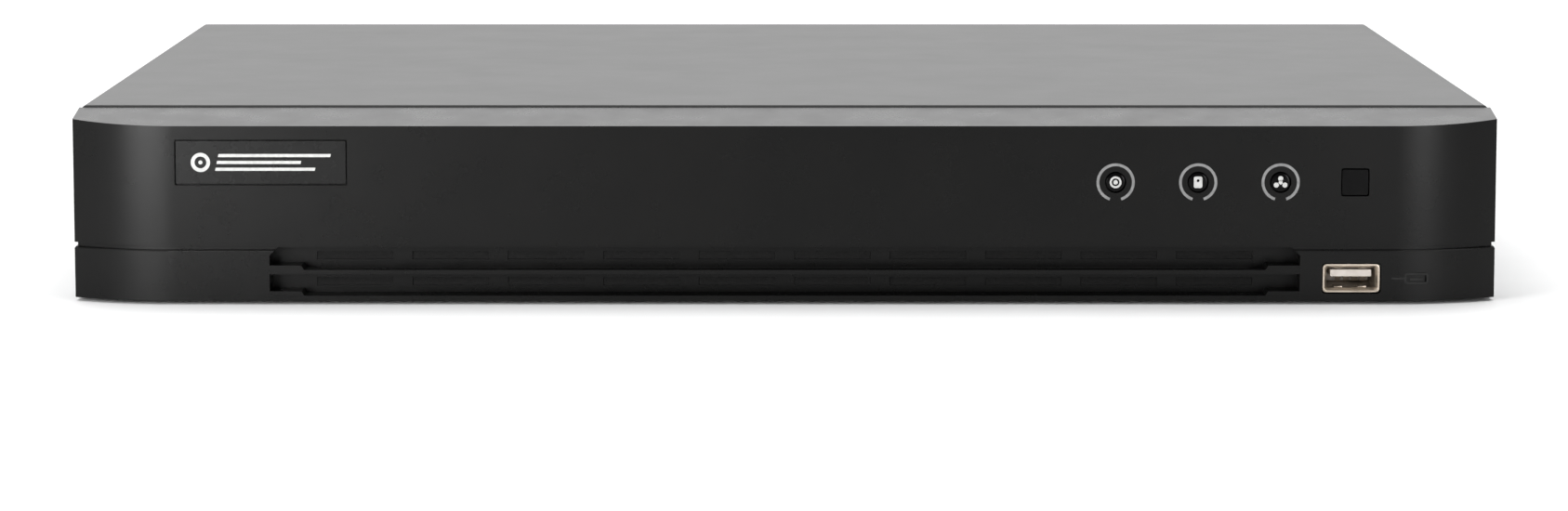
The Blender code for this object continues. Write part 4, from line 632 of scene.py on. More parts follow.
def rod(radius: float, ends: Span, at: Point = (0, 0), axis: Axis = Axis.Y, sides: int = 24) -> Shape:
    """A round bar of a radius, between two ends along an axis that passes through a point."""
    profile = [(0, ends[0]), (radius, ends[0]), (radius, ends[1]), (0, ends[1])]
    return turned(profile, sides, axis.place(at, 0.0), axis)


def shifted(shape: Shape, by: Place) -> Shape:
    """A copy of a shape, moved.

    Args:
        shape: The shape to copy.
        by: How far it moves.

    Returns:
        The moved copy.
    """
    moved = shape.copy()
    bmesh.ops.translate(moved, verts=moved.verts, vec=by)
    return moved


def copies(shape: Shape, places: Iterable[Point]) -> list[Shape]:
    """Copies of a shape at several places on the panel.

    Args:
        shape: The shape round the origin, which is used up.
        places: The x and z of each copy.

    Returns:
        The copies.
    """
    made = [shifted(shape, (x, 0, z)) for x, z in places]
    shape.free()
    return made


def merged(shapes: Iterable[Shape]) -> Shape:
    """Several separate shapes as one.

    Args:
        shapes: The shapes, which are used up.

    Returns:
        One shape with all of them in it.
    """
    whole = bmesh.new()
    for shape in shapes:
        part = bpy.data.meshes.new("part")
        shape.to_mesh(part)
        whole.from_mesh(part)
        bpy.data.meshes.remove(part)
        shape.free()
    return whole


class Joining(Enum):
    """How one solid acts on another."""

    CUT = "DIFFERENCE"
    ADD = "UNION"


def combined(shape: Shape, others: Iterable[Shape], how: Joining) -> Shape:
    """A solid with others cut from it or added to it.

    Args:
        shape: The solid that stays, which is used up.
        others: The solids that cut it or join it, which are used up.
        how: What they do.

    Returns:
        The new solid.
    """
    tools = bpy.data.collections.new("tools")
    objects = []
    for part in (shape, *others):
        mesh = bpy.data.meshes.new("part")
        part.to_mesh(mesh)
        part.free()
        objects.append(bpy.data.objects.new("part", mesh))
    bpy.context.scene.collection.objects.link(objects[0])
    for tool in objects[1:]:
        tools.objects.link(tool)
    action = objects[0].modifiers.new("joining", "BOOLEAN")
    action.operation = how.value
    action.solver = "EXACT"
    action.operand_type = "COLLECTION"
    action.collection = tools
    bpy.context.view_layer.update()
    seen = objects[0].evaluated_get(bpy.context.evaluated_depsgraph_get())
    result = bmesh.new()
    result.from_mesh(seen.to_mesh())
    seen.to_mesh_clear()
    for used in objects:
        mesh = used.data
        bpy.data.objects.remove(used)
        bpy.data.meshes.remove(mesh)
    bpy.data.collections.remove(tools)
    bmesh.ops.remove_doubles(result, verts=result.verts, dist=1e-4)
    return result


def cut(shape: Shape, *cutters: Shape) -> Shape:
    """A solid with cutters taken out of it."""
    return combined(shape, cutters, Joining.CUT)


def joined(shape: Shape, *others: Shape) -> Shape:
    """A solid with others added to it."""
    return combined(shape, others, Joining.ADD)


@dataclass(frozen=True)
class Piece:
    """One visible piece: its name, finish, the body it rides on and the nodes it stands for."""

    name: str
    finish: Finish
    body: Body = Body.CASE
    replaces: tuple[str, ...] = ()
    edge: float = 0.0  # how far each hard edge is rounded off
    segments: int = 2
    crease_deg: float = 38.0  # edges sharper than this stay crisp

    def make(self, shape: Shape) -> bpy.types.Object:
        """Makes the piece in the scene.

        Args:
            shape: Its shape in millimetres, which is used up.

        Returns:
            The piece.
        """
        bmesh.ops.scale(shape, vec=(MM, MM, MM), verts=shape.verts)
        mesh = bpy.data.meshes.new(self.name)
        shape.to_mesh(mesh)
        shape.free()
        mesh.shade_smooth()
        if not self.edge:
            mesh.set_sharp_from_angle(angle=math.radians(self.crease_deg))
        mesh.materials.append(self.finish.material())
        made = bpy.data.objects.new(self.name, mesh)
        bpy.context.scene.collection.objects.link(made)
        if self.edge:
            rounding = made.modifiers.new("rounding", "BEVEL")
            rounding.width = self.edge * MM
            rounding.segments = self.segments
            rounding.limit_method = "ANGLE"
            rounding.angle_limit = math.radians(self.crease_deg)
            rounding.use_clamp_overlap = True
        shading = made.modifiers.new("shading", "WEIGHTED_NORMAL")
        shading.keep_sharp = True
        shading.weight = 60
        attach(made, self.body.value)
        if self.replaces:
            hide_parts(*self.replaces)
        LOG.info("%s: %d faces, rides on %s", self.name, len(mesh.polygons), self.body.value)
        return made


# Front -------------------------------------------------------------------------------------------


@dataclass
class FrontBezel:
    """The moulded front, with curved ends, a groove all round it and the vent under the groove."""

    wall: float = 2.2
    end_length: float = 28.0
    end_recess: float = 8.0
    end_points: int = 28
    top_drop: float = 2.3  # how far the front's top edge is under the lip's
    top_rise: float = 3.3  # how far the sloping top would rise over the whole depth
    lip: float = 1.6  # the part of its depth that slides under the cover
    lip_inset: float = 1.8
    groove_z: float = 14.9
    groove_height: float = 1.2
    groove_depth: float = 0.8
    vent_half: float = 138.9
    vent_depth: float = 8.0
    vent_bottom: float = 2.4
    vent_back: float = 1.6
    vent_corner: float = 2.2
    blade_z: float = 8.2
    blade_thickness: float = 1.2
    blade_setback: float = 0.12
    blade_depth: float = 3.6
    rib_rise: float = 1.2
    groove_chamfer: float = 0.5
    flare: float = 9.5
    taper: float = 4.0
    slots: int = 10
    slot_height: float = 2.2
    slot_share: float = 0.8
    mark_gap: float = 10.6  # from the front socket to the middle of its mark
    lens_hole: float = 2.9
    box: Box = field(default_factory=lambda: Box.of("front_bezel"))

    def outline(self, inset: float, back: float) -> list[Point]:
        """The bezel seen from above, moved in by an amount and cut off behind.

        Args:
            inset: How far it is moved in.
            back: Where it is cut off.

        Returns:
            Its corners.
        """
        half = self.box.high.x - inset
        front = self.box.low.y + inset
        radius = (self.end_length**2 + self.end_recess**2) / (2 * self.end_recess)
        curve = []
        for i in range(self.end_points):
            reach = self.end_length * i / (self.end_points - 1)
            setback = radius - math.sqrt(radius**2 - reach**2)
            curve.append((half - self.end_length + reach, front + setback))
        right = [*curve, (half, back)]
        return [(-x, y) for x, y in reversed(right)] + right

    def sloped(self, inset: float, back: float, bottom: float, drop: float) -> Shape:
        """The outline stood up to the sloping top.

        Args:
            inset: How far the outline is moved in.
            back: Where it is cut off.
            bottom: Where it starts.
            drop: How far it stays under the bezel's top.

        Returns:
            The solid.
        """
        over = self.box.high.z + 5
        shape = prism(self.outline(inset, back), (bottom, over), Axis.Z)
        slope = self.top_rise / self.box.size.y
        for corner in shape.verts:
            if corner.co.z > over - GAP:
                top = self.box.high.z - self.top_drop + (corner.co.y - self.box.low.y) * slope
                corner.co.z = top - drop
        return shape

    def blade(self) -> Shape:
        """The blade across the vent: narrow in the middle and full depth at its ends."""
        front = self.box.low.y + self.blade_setback
        back = self.box.low.y + self.vent_depth + self.vent_back / 2
        inner, end = self.vent_half - self.flare, self.vent_half + self.wall / 2
        narrow = front + self.blade_depth
        outline = [(-end, front), (end, front), (end, back), (inner, back), (inner - self.taper, narrow)]
        outline += [(self.taper - inner, narrow), (-inner, back), (-end, back)]
        return prism(outline, (self.blade_z, self.blade_z + self.blade_thickness), Axis.Z)

    def slot_pitch(self) -> float:
        """How far apart the slots in the vent's back wall are."""
        return 2 * (self.vent_half - self.flare) / self.slots

    def slot_places(self) -> list[Point]:
        """The middle of each slot in the vent's back wall, as x and z."""
        top = self.groove_z + self.groove_height / 2
        rows = ((self.vent_bottom + self.blade_z) / 2, (self.blade_z + self.blade_thickness + top) / 2)
        places = [self.slot_pitch() * (i + 0.5 - self.slots / 2) for i in range(self.slots)]
        return [(x, z) for x in places for z in rows]

    def ribs(self) -> list[Shape]:
        """The raised ribs at both ends of the blade and of the vent's bottom lip."""
        ends = (self.box.low.y + self.blade_setback, self.box.low.y + self.vent_depth + self.vent_back / 2)
        inner, end = self.vent_half - self.flare, self.vent_half + self.wall / 2
        shapes = []
        for low in (self.blade_z + self.blade_thickness - GAP, self.vent_bottom - GAP):
            top = low + GAP + self.rib_rise
            for side in (-1, 1):
                lean = [(side * end, low), (side * inner, low), (side * (inner + 1.0), top)]
                shapes.append(prism([*lean, (side * end, top)], ends))
        return shapes

    def vent_slots(self) -> list[Shape]:
        """Cutters for the slots in the vent's back wall."""
        back = self.box.low.y + self.vent_depth + self.vent_back / 2
        size = (self.slot_pitch() * self.slot_share, 2 * self.vent_back, self.slot_height)
        return [around((x, back, z), size) for x, z in self.slot_places()]

    def openings(self) -> list[Shape]:
        """Cutters for the lenses, the infrared window, the front socket and the badge plate."""
        front = self.box.low.y
        through = (front - SPARE, front + self.wall + SPARE)
        guide = Box.of("indicator_light_guide")
        lenses = [rod(self.lens_hole, through, (x, guide.centre.z), sides=32) for x in lens_places()]
        window = Box.of("infrared_window")
        pane = StatusWindow().size + 2 * GAP
        square = softened(rectangle((window.centre.x, window.centre.z), (pane, pane)), 0.7)
        port = Box.of("front_usb_shell")
        lips = 2 * (FrontSocket().flare + GAP)
        size = (port.size.x + lips, port.size.z + lips)
        hole = softened(rectangle((port.centre.x, port.centre.z), size), 1.2)
        badge = Box.of("badge_plate")
        recess = badge.face(GAP)
        shallow = (front - SPARE, front + badge.size.y + 2 * GAP)
        return [*lenses, prism(square, through), prism(hole, through), prism(softened(recess, 0.5), shallow)]

    def chamfer(self, seam: float) -> Shape:
        """A cutter that slopes the groove's lower edge.

        Args:
            seam: Where the groove ends behind.

        Returns:
            The cutter.
        """
        size = self.groove_chamfer
        rim, floor = self.outline(-SPARE, seam), self.outline(size, seam)[::-1]
        edge = self.outline(-0.03, seam)[::-1]
        shape = prism(rim + floor, (self.groove_z - size, self.groove_z + 0.2), Axis.Z)
        shape.verts.ensure_lookup_table()
        for i, (x, y) in enumerate(edge):
            shape.verts[len(rim) + i].co.xy = (x, y)
        bmesh.ops.recalc_face_normals(shape, faces=shape.faces)
        return shape

    def shape(self) -> Shape:
        """The whole bezel."""
        box, front = self.box, self.box.low.y
        back, seam = box.high.y, box.high.y - self.lip
        inside = self.sloped(self.wall, back + SPARE, box.low.z + self.wall, self.wall)
        around_it, floor = self.outline(-SPARE, seam), self.outline(self.groove_depth, seam)
        groove = prism(around_it + floor[::-1], (self.groove_z, self.groove_z + self.groove_height), Axis.Z)
        half = box.high.x
        trims = [
            block((side * (half - self.lip_inset), side * 2 * half), (seam - GAP, back + SPARE), (0, 60))
            for side in (-1, 1)
        ]
        trims.append(block((-half - GAP, half + GAP), (seam - GAP, back + SPARE), (box.high.z, 60)))
        vent_top, vent_back = self.groove_z + self.groove_height / 2, front + self.vent_depth
        housing_half = self.vent_half + self.wall
        housing = block(
            (-housing_half, housing_half),
            (front + self.wall / 2, vent_back + self.vent_back),
            (box.low.z + self.wall / 2, vent_top + self.vent_back),
        )
        wide, cut_off = self.vent_half, self.vent_corner
        mouth = [(-wide, self.vent_bottom), (wide, self.vent_bottom), (wide, vent_top - cut_off)]
        mouth += [(wide - cut_off, vent_top), (cut_off - wide, vent_top), (-wide, vent_top - cut_off)]
        vent = prism(mouth, (front - SPARE, vent_back))
        shell = cut(self.sloped(0, back, box.low.z, 0), inside, groove, self.chamfer(seam), *trims)
        shell = cut(joined(shell, housing), vent)
        return cut(joined(shell, self.blade(), *self.ribs()), *self.vent_slots(), *self.openings())

    def gauze(self) -> Shape:
        """The pads of dust gauze that fill the slots in the vent's back wall."""
        back = self.box.low.y + self.vent_depth
        size = (self.slot_pitch() * self.slot_share - 0.06, 1.1, self.slot_height - 0.06)
        return merged(around((x, back + 0.85, z), size) for x, z in self.slot_places())

    def socket_mark(self) -> Shape:
        """A plain moulded mark beside the front socket: a plug's outline with a line to it."""
        port = Box.of("front_usb_shell")
        x, z = port.high.x + self.mark_gap, port.centre.z
        outer = softened(rectangle((x, z), (6.4, 3.0)), 0.8)
        inner = softened(rectangle((x, z), (5.4, 2.0)), 0.5)
        ends = (self.box.low.y - 0.06, self.box.low.y + 0.3)
        ring = pipe(outer, inner, ends)
        tail = prism(rectangle((x - 5.0, z), (3.6, 0.5)), ends)
        bar = prism(rectangle((x, z - 0.2), (3.4, 0.6)), ends)
        return merged((ring, tail, bar))

    def build(self) -> None:
        """Builds the bezel and the mark moulded into it."""
        moulding = Piece("front_cover_moulding", BEZEL_PLASTIC, replaces=("front_bezel",), edge=0.35, segments=3)
        moulding.make(self.shape())
        Piece("vent_gauze", DUST_GAUZE).make(self.gauze())
        Piece("front_socket_mark", FAINT_INK).make(self.socket_mark())


def lens_places() -> list[float]:
    """The x of the three status lenses."""
    guide = Box.of("indicator_light_guide")
    pitch = (guide.size.x - guide.size.z) / 2
    return [guide.centre.x + i * pitch for i in (-1, 0, 1)]


@dataclass
class BadgePlate:
    """The plate let into the front, with a plain printed mark."""

    corner: float = 0.45
    print_height: float = 0.05
    ring: Span = (1.6, 2.6)
    mark_left: float = 16.2
    bars: tuple[tuple[float, float, float], ...] = ((-4.4, 1.85, 30.2), (-4.4, 0.0, 22.6), (-4.4, -1.85, 26.8))

    def build(self) -> None:
        """Builds the plate and its printed ring and bars."""
        box = Box.of("badge_plate")
        x, z, front = box.centre.x, box.centre.z, box.low.y
        outline = softened(box.face(), self.corner)
        Piece("badge_face", BADGE_LACQUER, replaces=("badge_plate",), edge=0.18).make(
            prism(outline, (front, box.high.y))
        )
        ends = (front - self.print_height, front)
        at = (x - self.mark_left, z)
        marks = [pipe(circle(at, self.ring[1]), circle(at, self.ring[0]), ends)]
        marks.append(prism(circle(at, 0.55, 16), ends))
        lean = math.tan(math.radians(12))
        for left, rise, length in self.bars:
            low, high = z + rise - 0.42, z + rise + 0.42
            start = at[0] - left
            skew = [(start + lean * (low - z), low), (start + length + lean * (low - z), low)]
            skew += [(start + length + lean * (high - z), high), (start + lean * (high - z), high)]
            marks.append(prism(skew, ends))
        Piece("badge_mark", WHITE_INK).make(merged(marks))


class Sign(Enum):
    """What each status lens stands for."""

    POWER = 0
    DISK = 1
    NETWORK = 2


@dataclass
class StatusWindow:
    """The smoked pane in front of the infrared receiver."""

    size: float = 7.0
    flange: float = 1.0

    def build(self) -> None:
        """Builds the pane with its flange behind the bezel."""
        box = Box.of("infrared_window")
        x, z = box.centre.x, box.centre.z
        pane = prism(softened(rectangle((x, z), (self.size, self.size)), 0.6), (box.low.y, box.high.y - 0.5))
        rim = prism(softened(box.face(), 0.6), (box.high.y - self.flange, box.high.y))
        Piece("receiver_pane", SMOKED_PLASTIC, replaces=("infrared_window",), edge=0.15).make(merged((pane, rim)))


@dataclass
class StatusLights:
    """The three status lenses, each with a sign on it and an open ring printed round it."""

    radius: float = 2.6
    ring: Span = (4.4, 5.15)
    ring_open_deg: float = 37.0
    print_height: float = 0.05

    def open_ring(self, x: float, z: float, ends: Span) -> Shape:
        """An open ring with its gap at the bottom.

        Args:
            x: Its middle across the front.
            z: Its middle above the ground.
            ends: Where it starts and ends in depth.

        Returns:
            The ring.
        """
        start, end = 270 + self.ring_open_deg / 2, 630 - self.ring_open_deg / 2
        outer = sweep((x, z), self.ring[1], start, end, 44)
        inner = sweep((x, z), self.ring[0], start, end, 44)
        return prism(outer + inner[::-1], ends)

    def sign(self, kind: Sign, x: float, z: float, ends: Span) -> list[Shape]:
        """The sign on a lens.

        Args:
            kind: Which sign.
            x: Its middle across the front.
            z: Its middle above the ground.
            ends: Where it starts and ends in depth.

        Returns:
            Its parts.
        """
        if kind is Sign.POWER:
            hoop = pipe(circle((x, z), 1.6, 24), circle((x, z), 1.05, 24), ends)
            return [hoop, prism(circle((x, z), 0.62, 14), ends)]
        if kind is Sign.DISK:
            outer = softened(rectangle((x, z), (2.3, 3.1)), 0.5)
            return [pipe(outer, circle((x, z + 0.45), 0.38, 12), ends)]
        dots = ((0.0, 1.0), (-1.15, -0.75), (1.15, -0.75))
        hub = (x, z - 0.05)
        parts = [prism(circle((x + dx, z + dz), 0.7, 16), ends) for dx, dz in dots]
        return [*parts, prism(circle(hub, 0.55, 12), (ends[0], ends[1] + 0.01))]

    def build(self) -> None:
        """Builds the light guide, its signs and the rings round them."""
        box = Box.of("indicator_light_guide")
        front, z = box.low.y, box.centre.z
        flat = (box.high.y - 2.0, box.high.y)
        parts = [block((box.low.x, box.high.x), flat, (box.low.z, box.high.z))]
        for x in lens_places():
            profile = [(0, front + 0.1), (self.radius - 0.5, front + 0.12), (self.radius - 0.12, front + 0.25)]
            profile += [(self.radius, front + 0.5), (self.radius, box.high.y - 1.9), (0, box.high.y - 1.9)]
            parts.append(turned(profile, 36, (x, 0, z)))
        guide = Piece("status_lenses", SMOKED_PLASTIC, replaces=("indicator_light_guide",))
        guide.make(merged(parts))
        bezel = Box.of("front_bezel").low.y
        signs, rings = [], []
        for x, kind in zip(lens_places(), Sign):
            signs += self.sign(kind, x, z, (front + 0.05, front + 0.13))
            rings.append(self.open_ring(x, z, (bezel - self.print_height, bezel)))
        Piece("status_signs", WHITE_INK).make(merged(signs))
        Piece("status_rings", GREY_INK).make(merged(rings))


class PortFacing(Enum):
    """Which way a socket's opening faces along Y."""

    FRONT = -1
    REAR = 1


@dataclass
class SerialPort:
    """A flat four-contact port: its tongue and the contacts on it. The front port's shell is drawn by FrontSocket.
    """

    tongue: Point = (11.1, 1.9)
    drop: float = 1.2
    contact_width: float = 1.0
    contact_pitch: float = 2.3
    contact_count: int = 4
    spring_drop: float = 0.0

    def tongue_shape(self, pocket: Box, facing: PortFacing, root: float) -> Shape:
        """The tongue and the block that carries it at the back of the pocket.

        Args:
            pocket: The pocket's inside.
            facing: Which way the opening faces.
            root: How deep the block is.

        Returns:
            The shape.
        """
        out = facing.value
        face = pocket.high.y if out > 0 else pocket.low.y
        floor = pocket.low.y if out > 0 else pocket.high.y
        x, z = pocket.centre.x, pocket.high.z - self.drop - self.tongue[1] / 2
        base = rectangle((x, pocket.centre.z), (pocket.size.x - 2 * GAP, pocket.size.z - 2 * GAP))
        back = prism(base, tuple(sorted((floor + out * GAP, floor + out * (GAP + root)))))
        nose = softened(rectangle((x, z), self.tongue), 0.35)
        blade = prism(nose, tuple(sorted((floor + out * (GAP + root / 2), face - out * 1.0))))
        return merged((back, blade))

    def contacts(self, pocket: Box, facing: PortFacing, depth: float = 7.0) -> Shape:
        """The plated contacts under the tongue.

        Args:
            pocket: The pocket's inside.
            facing: Which way the opening faces.
            depth: How long they are.

        Returns:
            The contacts.
        """
        out = facing.value
        face = pocket.high.y if out > 0 else pocket.low.y
        z = pocket.high.z - self.drop - self.tongue[1]
        near, far = face - out * 1.6, face - out * (1.6 + depth)
        top, bow = z + 0.1, z - self.spring_drop
        side = [(near, top), (near, z - 0.1), (near + (far - near) * 0.25, bow - 0.1)]
        side += [(near + (far - near) * 0.5, z - 0.12), (far, z - 0.12), (far, top)]
        half = self.contact_width / 2
        xs = evenly(pocket.centre.x, self.contact_pitch, self.contact_count)
        return merged(prism(side, (x - half, x + half), Axis.X) for x in xs)


@dataclass
class FrontSocket:
    """The serial port in the front: a folded steel shell with flared lips, and its tongue."""

    wall: float = 0.4
    corner: float = 0.75
    flare: float = 0.75
    flare_depth: float = 1.1
    spring: Point = (2.2, 5.0)

    def lips(self, box: Box) -> Shape:
        """The four lips that flare out round the shell's mouth.

        Args:
            box: The box round the shell.

        Returns:
            The lips.
        """
        shape = bmesh.new()
        rings = []
        outside = ((self.flare, 0.0), (self.flare, 0.25), (0.0, self.flare_depth))
        inside = ((-self.wall, self.flare_depth), (self.flare - self.wall - 0.1, 0.0))
        for grow, depth in outside + inside:
            loop = softened(box.face(grow), self.corner + max(grow, 0.0) * 0.6)
            rings.append([shape.verts.new((a, box.low.y + depth, b)) for a, b in loop])
        for first, second in zip(rings, rings[1:] + rings[:1]):
            for i, corner in enumerate(first):
                j = (i + 1) % len(first)
                shape.faces.new((corner, first[j], second[j], second[i]))
        bmesh.ops.recalc_face_normals(shape, faces=shape.faces)
        return shape

    def shell(self) -> Shape:
        """The shell, open at its face, with the spring tongues pressed in its floor and roof."""
        box = Box.of("front_usb_shell")
        x, z = box.centre.x, box.centre.z
        outer = softened(box.face(), self.corner)
        size = (box.size.x - 2 * self.wall, box.size.z - 2 * self.wall)
        inner = softened(rectangle((x, z), size), self.corner - self.wall / 2)
        tube = pipe(outer, inner, (box.low.y + self.flare_depth, box.high.y))
        back = prism(inner, (box.high.y - self.wall, box.high.y))
        bumps = [self.lips(box)]
        for side in (-1, 1):
            for row in (-1, 1):
                at = (x + side * 3.2, box.low.y + 4.6, z + row * (size[1] / 2 - 0.12))
                bumps.append(around(at, (self.spring[0], self.spring[1], 0.3)))
        return merged((tube, back, *bumps))

    def build(self) -> None:
        """Builds the shell, the tongue and its contacts."""
        Piece("front_port_shell", PORT_BRASS, replaces=("front_usb_shell",), edge=0.08).make(self.shell())
        box = Box.of("front_usb_shell")
        wall = Vector((self.wall, 0, self.wall))
        pocket = Box(box.low + wall, box.high - wall - Vector((0, self.wall, 0)))
        port = SerialPort(drop=0.45, spring_drop=1.3, contact_width=1.5)
        shape = port.tongue_shape(pocket, PortFacing.FRONT, 2.0)
        Piece("front_port_tongue", PORT_IVORY, replaces=("front_usb_tongue",), edge=0.15).make(shape)
        Piece("front_port_contacts", PORT_BRASS).make(port.contacts(pocket, PortFacing.FRONT))


# Case --------------------------------------------------------------------------------------------


@dataclass
class TopCover:
    """The lid: top, sides and rear flange folded from one painted sheet."""

    sheet: float = 1.0
    front_bend: float = 0.92
    fold: float = 1.5
    flange_top: float = 4.7
    flange_side: float = 3.7
    tab_x: float = 91.0
    tab_z: float = 27.0
    tab_reach: float = 3.9
    tab_root: float = 11.0
    notch_x: tuple[float, ...] = (-178.7, -116.2)
    notch_width: float = 8.7
    notch_top: float = 50.7
    screw_hole: float = 1.75
    screw_inset: float = 5.0
    vents: int = 12
    vent_pitch: float = 7.0
    vent_size: Point = (2.6, 20.0)
    vent_start: float = -90.0

    def tab(self, along: float, edge: float, inward: int) -> list[Point]:
        """A rounded tab on the inside edge of the rear flange, as along and across.

        Args:
            along: Its middle along the edge.
            edge: Where the edge is.
            inward: Which way it reaches, 1 or -1.

        Returns:
            Its corners.
        """
        points = []
        for i in range(13):
            t = i / 12
            width = self.tab_root / 2 * math.cos(math.pi * t)
            rise = 0.5 - 0.5 * math.cos(math.tau * min(t, 1 - t))
            points.append((along - width, edge + inward * self.tab_reach * min(1.0, 1.25 * rise)))
        return points

    def rear_opening(self, box: Box) -> list[Point]:
        """The opening that the rear flange leaves."""
        side, top = box.high.x - self.flange_side, box.high.z - self.flange_top
        bottom = box.low.z - SPARE
        left = [(x, z) for z, x in self.tab(self.tab_z, -side, 1)]
        right = [(x, z) for z, x in self.tab(self.tab_z, side, -1)][::-1]
        tabs = self.tab(-self.tab_x, top, -1) + self.tab(self.tab_x, top, -1)
        return [(-side, bottom), *left, (-side, top), *tabs, (side, top), *right, (side, bottom)]

    def notches(self, box: Box, through: Span) -> list[Shape]:
        """Cutters for the two raised notches in the flange's inner edge."""
        top, half = box.high.z - self.flange_top, self.notch_width / 2
        shapes = []
        for x in self.notch_x:
            arch = [(x - half - 1.2, top - SPARE), (x - half - 1.2, top)]
            rise = self.notch_top - top
            for i in range(11):
                turn = math.pi * i / 10
                arch.append((x - half * math.cos(turn), top + rise * math.sin(turn) ** 0.8))
            arch += [(x + half + 1.2, top), (x + half + 1.2, top - SPARE)]
            shapes.append(prism(arch, through))
        return shapes

    def shape(self) -> Shape:
        """The whole cover."""
        box = Box.of("top_cover")
        half, top, back = box.high.x, box.high.z, box.high.y
        corners = sweep((half - self.fold, top - self.fold), self.fold, 0, 90, 7)
        section = [(-x, z) for x, z in corners] + corners[::-1]
        outline = [(-half, box.low.z), *section, (half, box.low.z)]
        inner, fold = half - self.sheet, self.fold - self.sheet
        soft = sweep((inner - fold, top - self.sheet - fold), fold, 0, 90, 4)
        inside = [(-inner, -SPARE), *[(-x, z) for x, z in soft], *soft[::-1], (inner, -SPARE)]
        hollow = prism(inside, (box.low.y - SPARE, back - self.sheet))
        through = (back - 2 * self.sheet, back + SPARE)
        holes = [rod(self.screw_hole, through, (x, z), sides=20) for x, z in self.screws(box)]
        wide, high = self.vent_size
        middle = (box.low.z + top) / 2
        ys = [self.vent_start + i * self.vent_pitch for i in range(self.vents)]
        slots = [softened(rectangle((y, middle), (wide, high)), wide * 0.45, 5) for y in ys]
        near, far = half - 2 * self.sheet, half + SPARE
        vents = [prism(slot, ends, Axis.X) for ends in ((-far, -near), (near, far)) for slot in slots]
        front, bend = box.low.y, self.front_bend
        waste = [(front - 1, top + 1), (front + bend, top + 1)]
        waste += sweep((front + bend, top - bend), bend, 90, 180, 8) + [(front - 1, top - bend)]
        rolled = prism(waste, (-half - SPARE, half + SPARE), Axis.X)
        body = cut(prism(outline, (front, back)), hollow, rolled, *vents)
        return cut(body, prism(self.rear_opening(box), through), *self.notches(box, through), *holes)

    def screws(self, box: Box) -> list[Point]:
        """The places of the screws that hold the cover, as x and z."""
        top = [(side * self.tab_x, box.high.z - self.screw_inset) for side in (-1, 1)]
        return top + [(side * (box.high.x - self.screw_inset), self.tab_z) for side in (-1, 1)]

    def build(self) -> None:
        """Builds the cover."""
        Piece("steel_cover", COVER_PAINT, replaces=("top_cover",), edge=0.14, crease_deg=45).make(self.shape())


@dataclass
class PanScrew:
    """A pan-head screw with a cross recess, pointing into the panel."""

    shank: float = 1.4
    length: float = 6.0
    cross: float = 0.62
    sides: int = 28

    def shape(self, box: Box) -> Shape:
        """The screw that fills a box whose outer face is its head.

        Args:
            box: The box round the screw.

        Returns:
            The screw.
        """
        head = box.size.x / 2
        top, under = box.high.y, box.low.y + self.length
        rise = top - under
        profile = [(0, box.low.y), (self.shank, box.low.y), (self.shank, under), (head, under)]
        profile += [(head, under + rise * 0.35), (head * 0.93, under + rise * 0.66)]
        profile += [(head * 0.74, under + rise * 0.92), (head * 0.4, top), (0, top)]
        at = (box.centre.x, box.centre.z)
        shape = turned(profile, self.sides, (at[0], 0, at[1]))
        deep = (top - rise * 0.75, top + SPARE)
        arm = head * 1.15
        slots = [prism(rectangle(at, (arm, self.cross)), deep), prism(rectangle(at, (self.cross, arm)), deep)]
        return cut(shape, *slots)

    def build(self, name: str, node: str) -> None:
        """Builds the screw, under its piece's name, in place of its node."""
        Piece(name, SCREW_BLACK, replaces=(node,), edge=0.06).make(self.shape(Box.of(node)))


@dataclass
class Foot:
    """A round rubber foot with a domed edge and a shallow dish underneath."""

    dish: float = 0.5
    rim: float = 2.2
    edge: float = 0.9

    def build(self, name: str, node: str) -> None:
        """Builds the foot in place of its node.

        Args:
            name: The piece's name.
            node: The node it stands for.
        """
        box = Box.of(node)
        radius, low, high = box.size.x / 2, box.low.z, box.high.z
        profile = [(0, low + self.dish), (radius - self.rim - 1, low + self.dish), (radius - self.rim, low)]
        profile += [(radius - self.edge, low), (radius - 0.2, low + self.edge), (radius, high), (0, high)]
        shape = turned(softened(profile, 0.3), 40, (box.centre.x, box.centre.y, 0), Axis.Z)
        Piece(name, FOOT_RUBBER, replaces=(node,)).make(shape)


# Rear panel --------------------------------------------------------------------------------------


@dataclass
class JackColumns:
    """Where the camera jacks are: sixteen columns in four blocks, two rows high."""

    pitch: float = 15.24
    blocks: int = 4
    top_spare: float = 8.3

    def xs(self, number: int) -> list[float]:
        """The x of each column of a block, by the block's number from 1."""
        box = Box.of(f"camera_socket_block_{number}")
        half = self.pitch / 2 - GAP
        count = round((box.size.x + 2 * GAP) / self.pitch)
        return [box.high.x - half - self.pitch * i for i in range(count)]

    def all_xs(self) -> list[float]:
        """The x of every column, from the ground screw's far side."""
        return [x for number in range(1, self.blocks + 1) for x in self.xs(number)]

    def zs(self) -> tuple[float, float]:
        """The heights of the lower and the upper row."""
        high = Box.of("camera_socket_block_1").high.z - self.top_spare
        return (high - self.pitch, high)


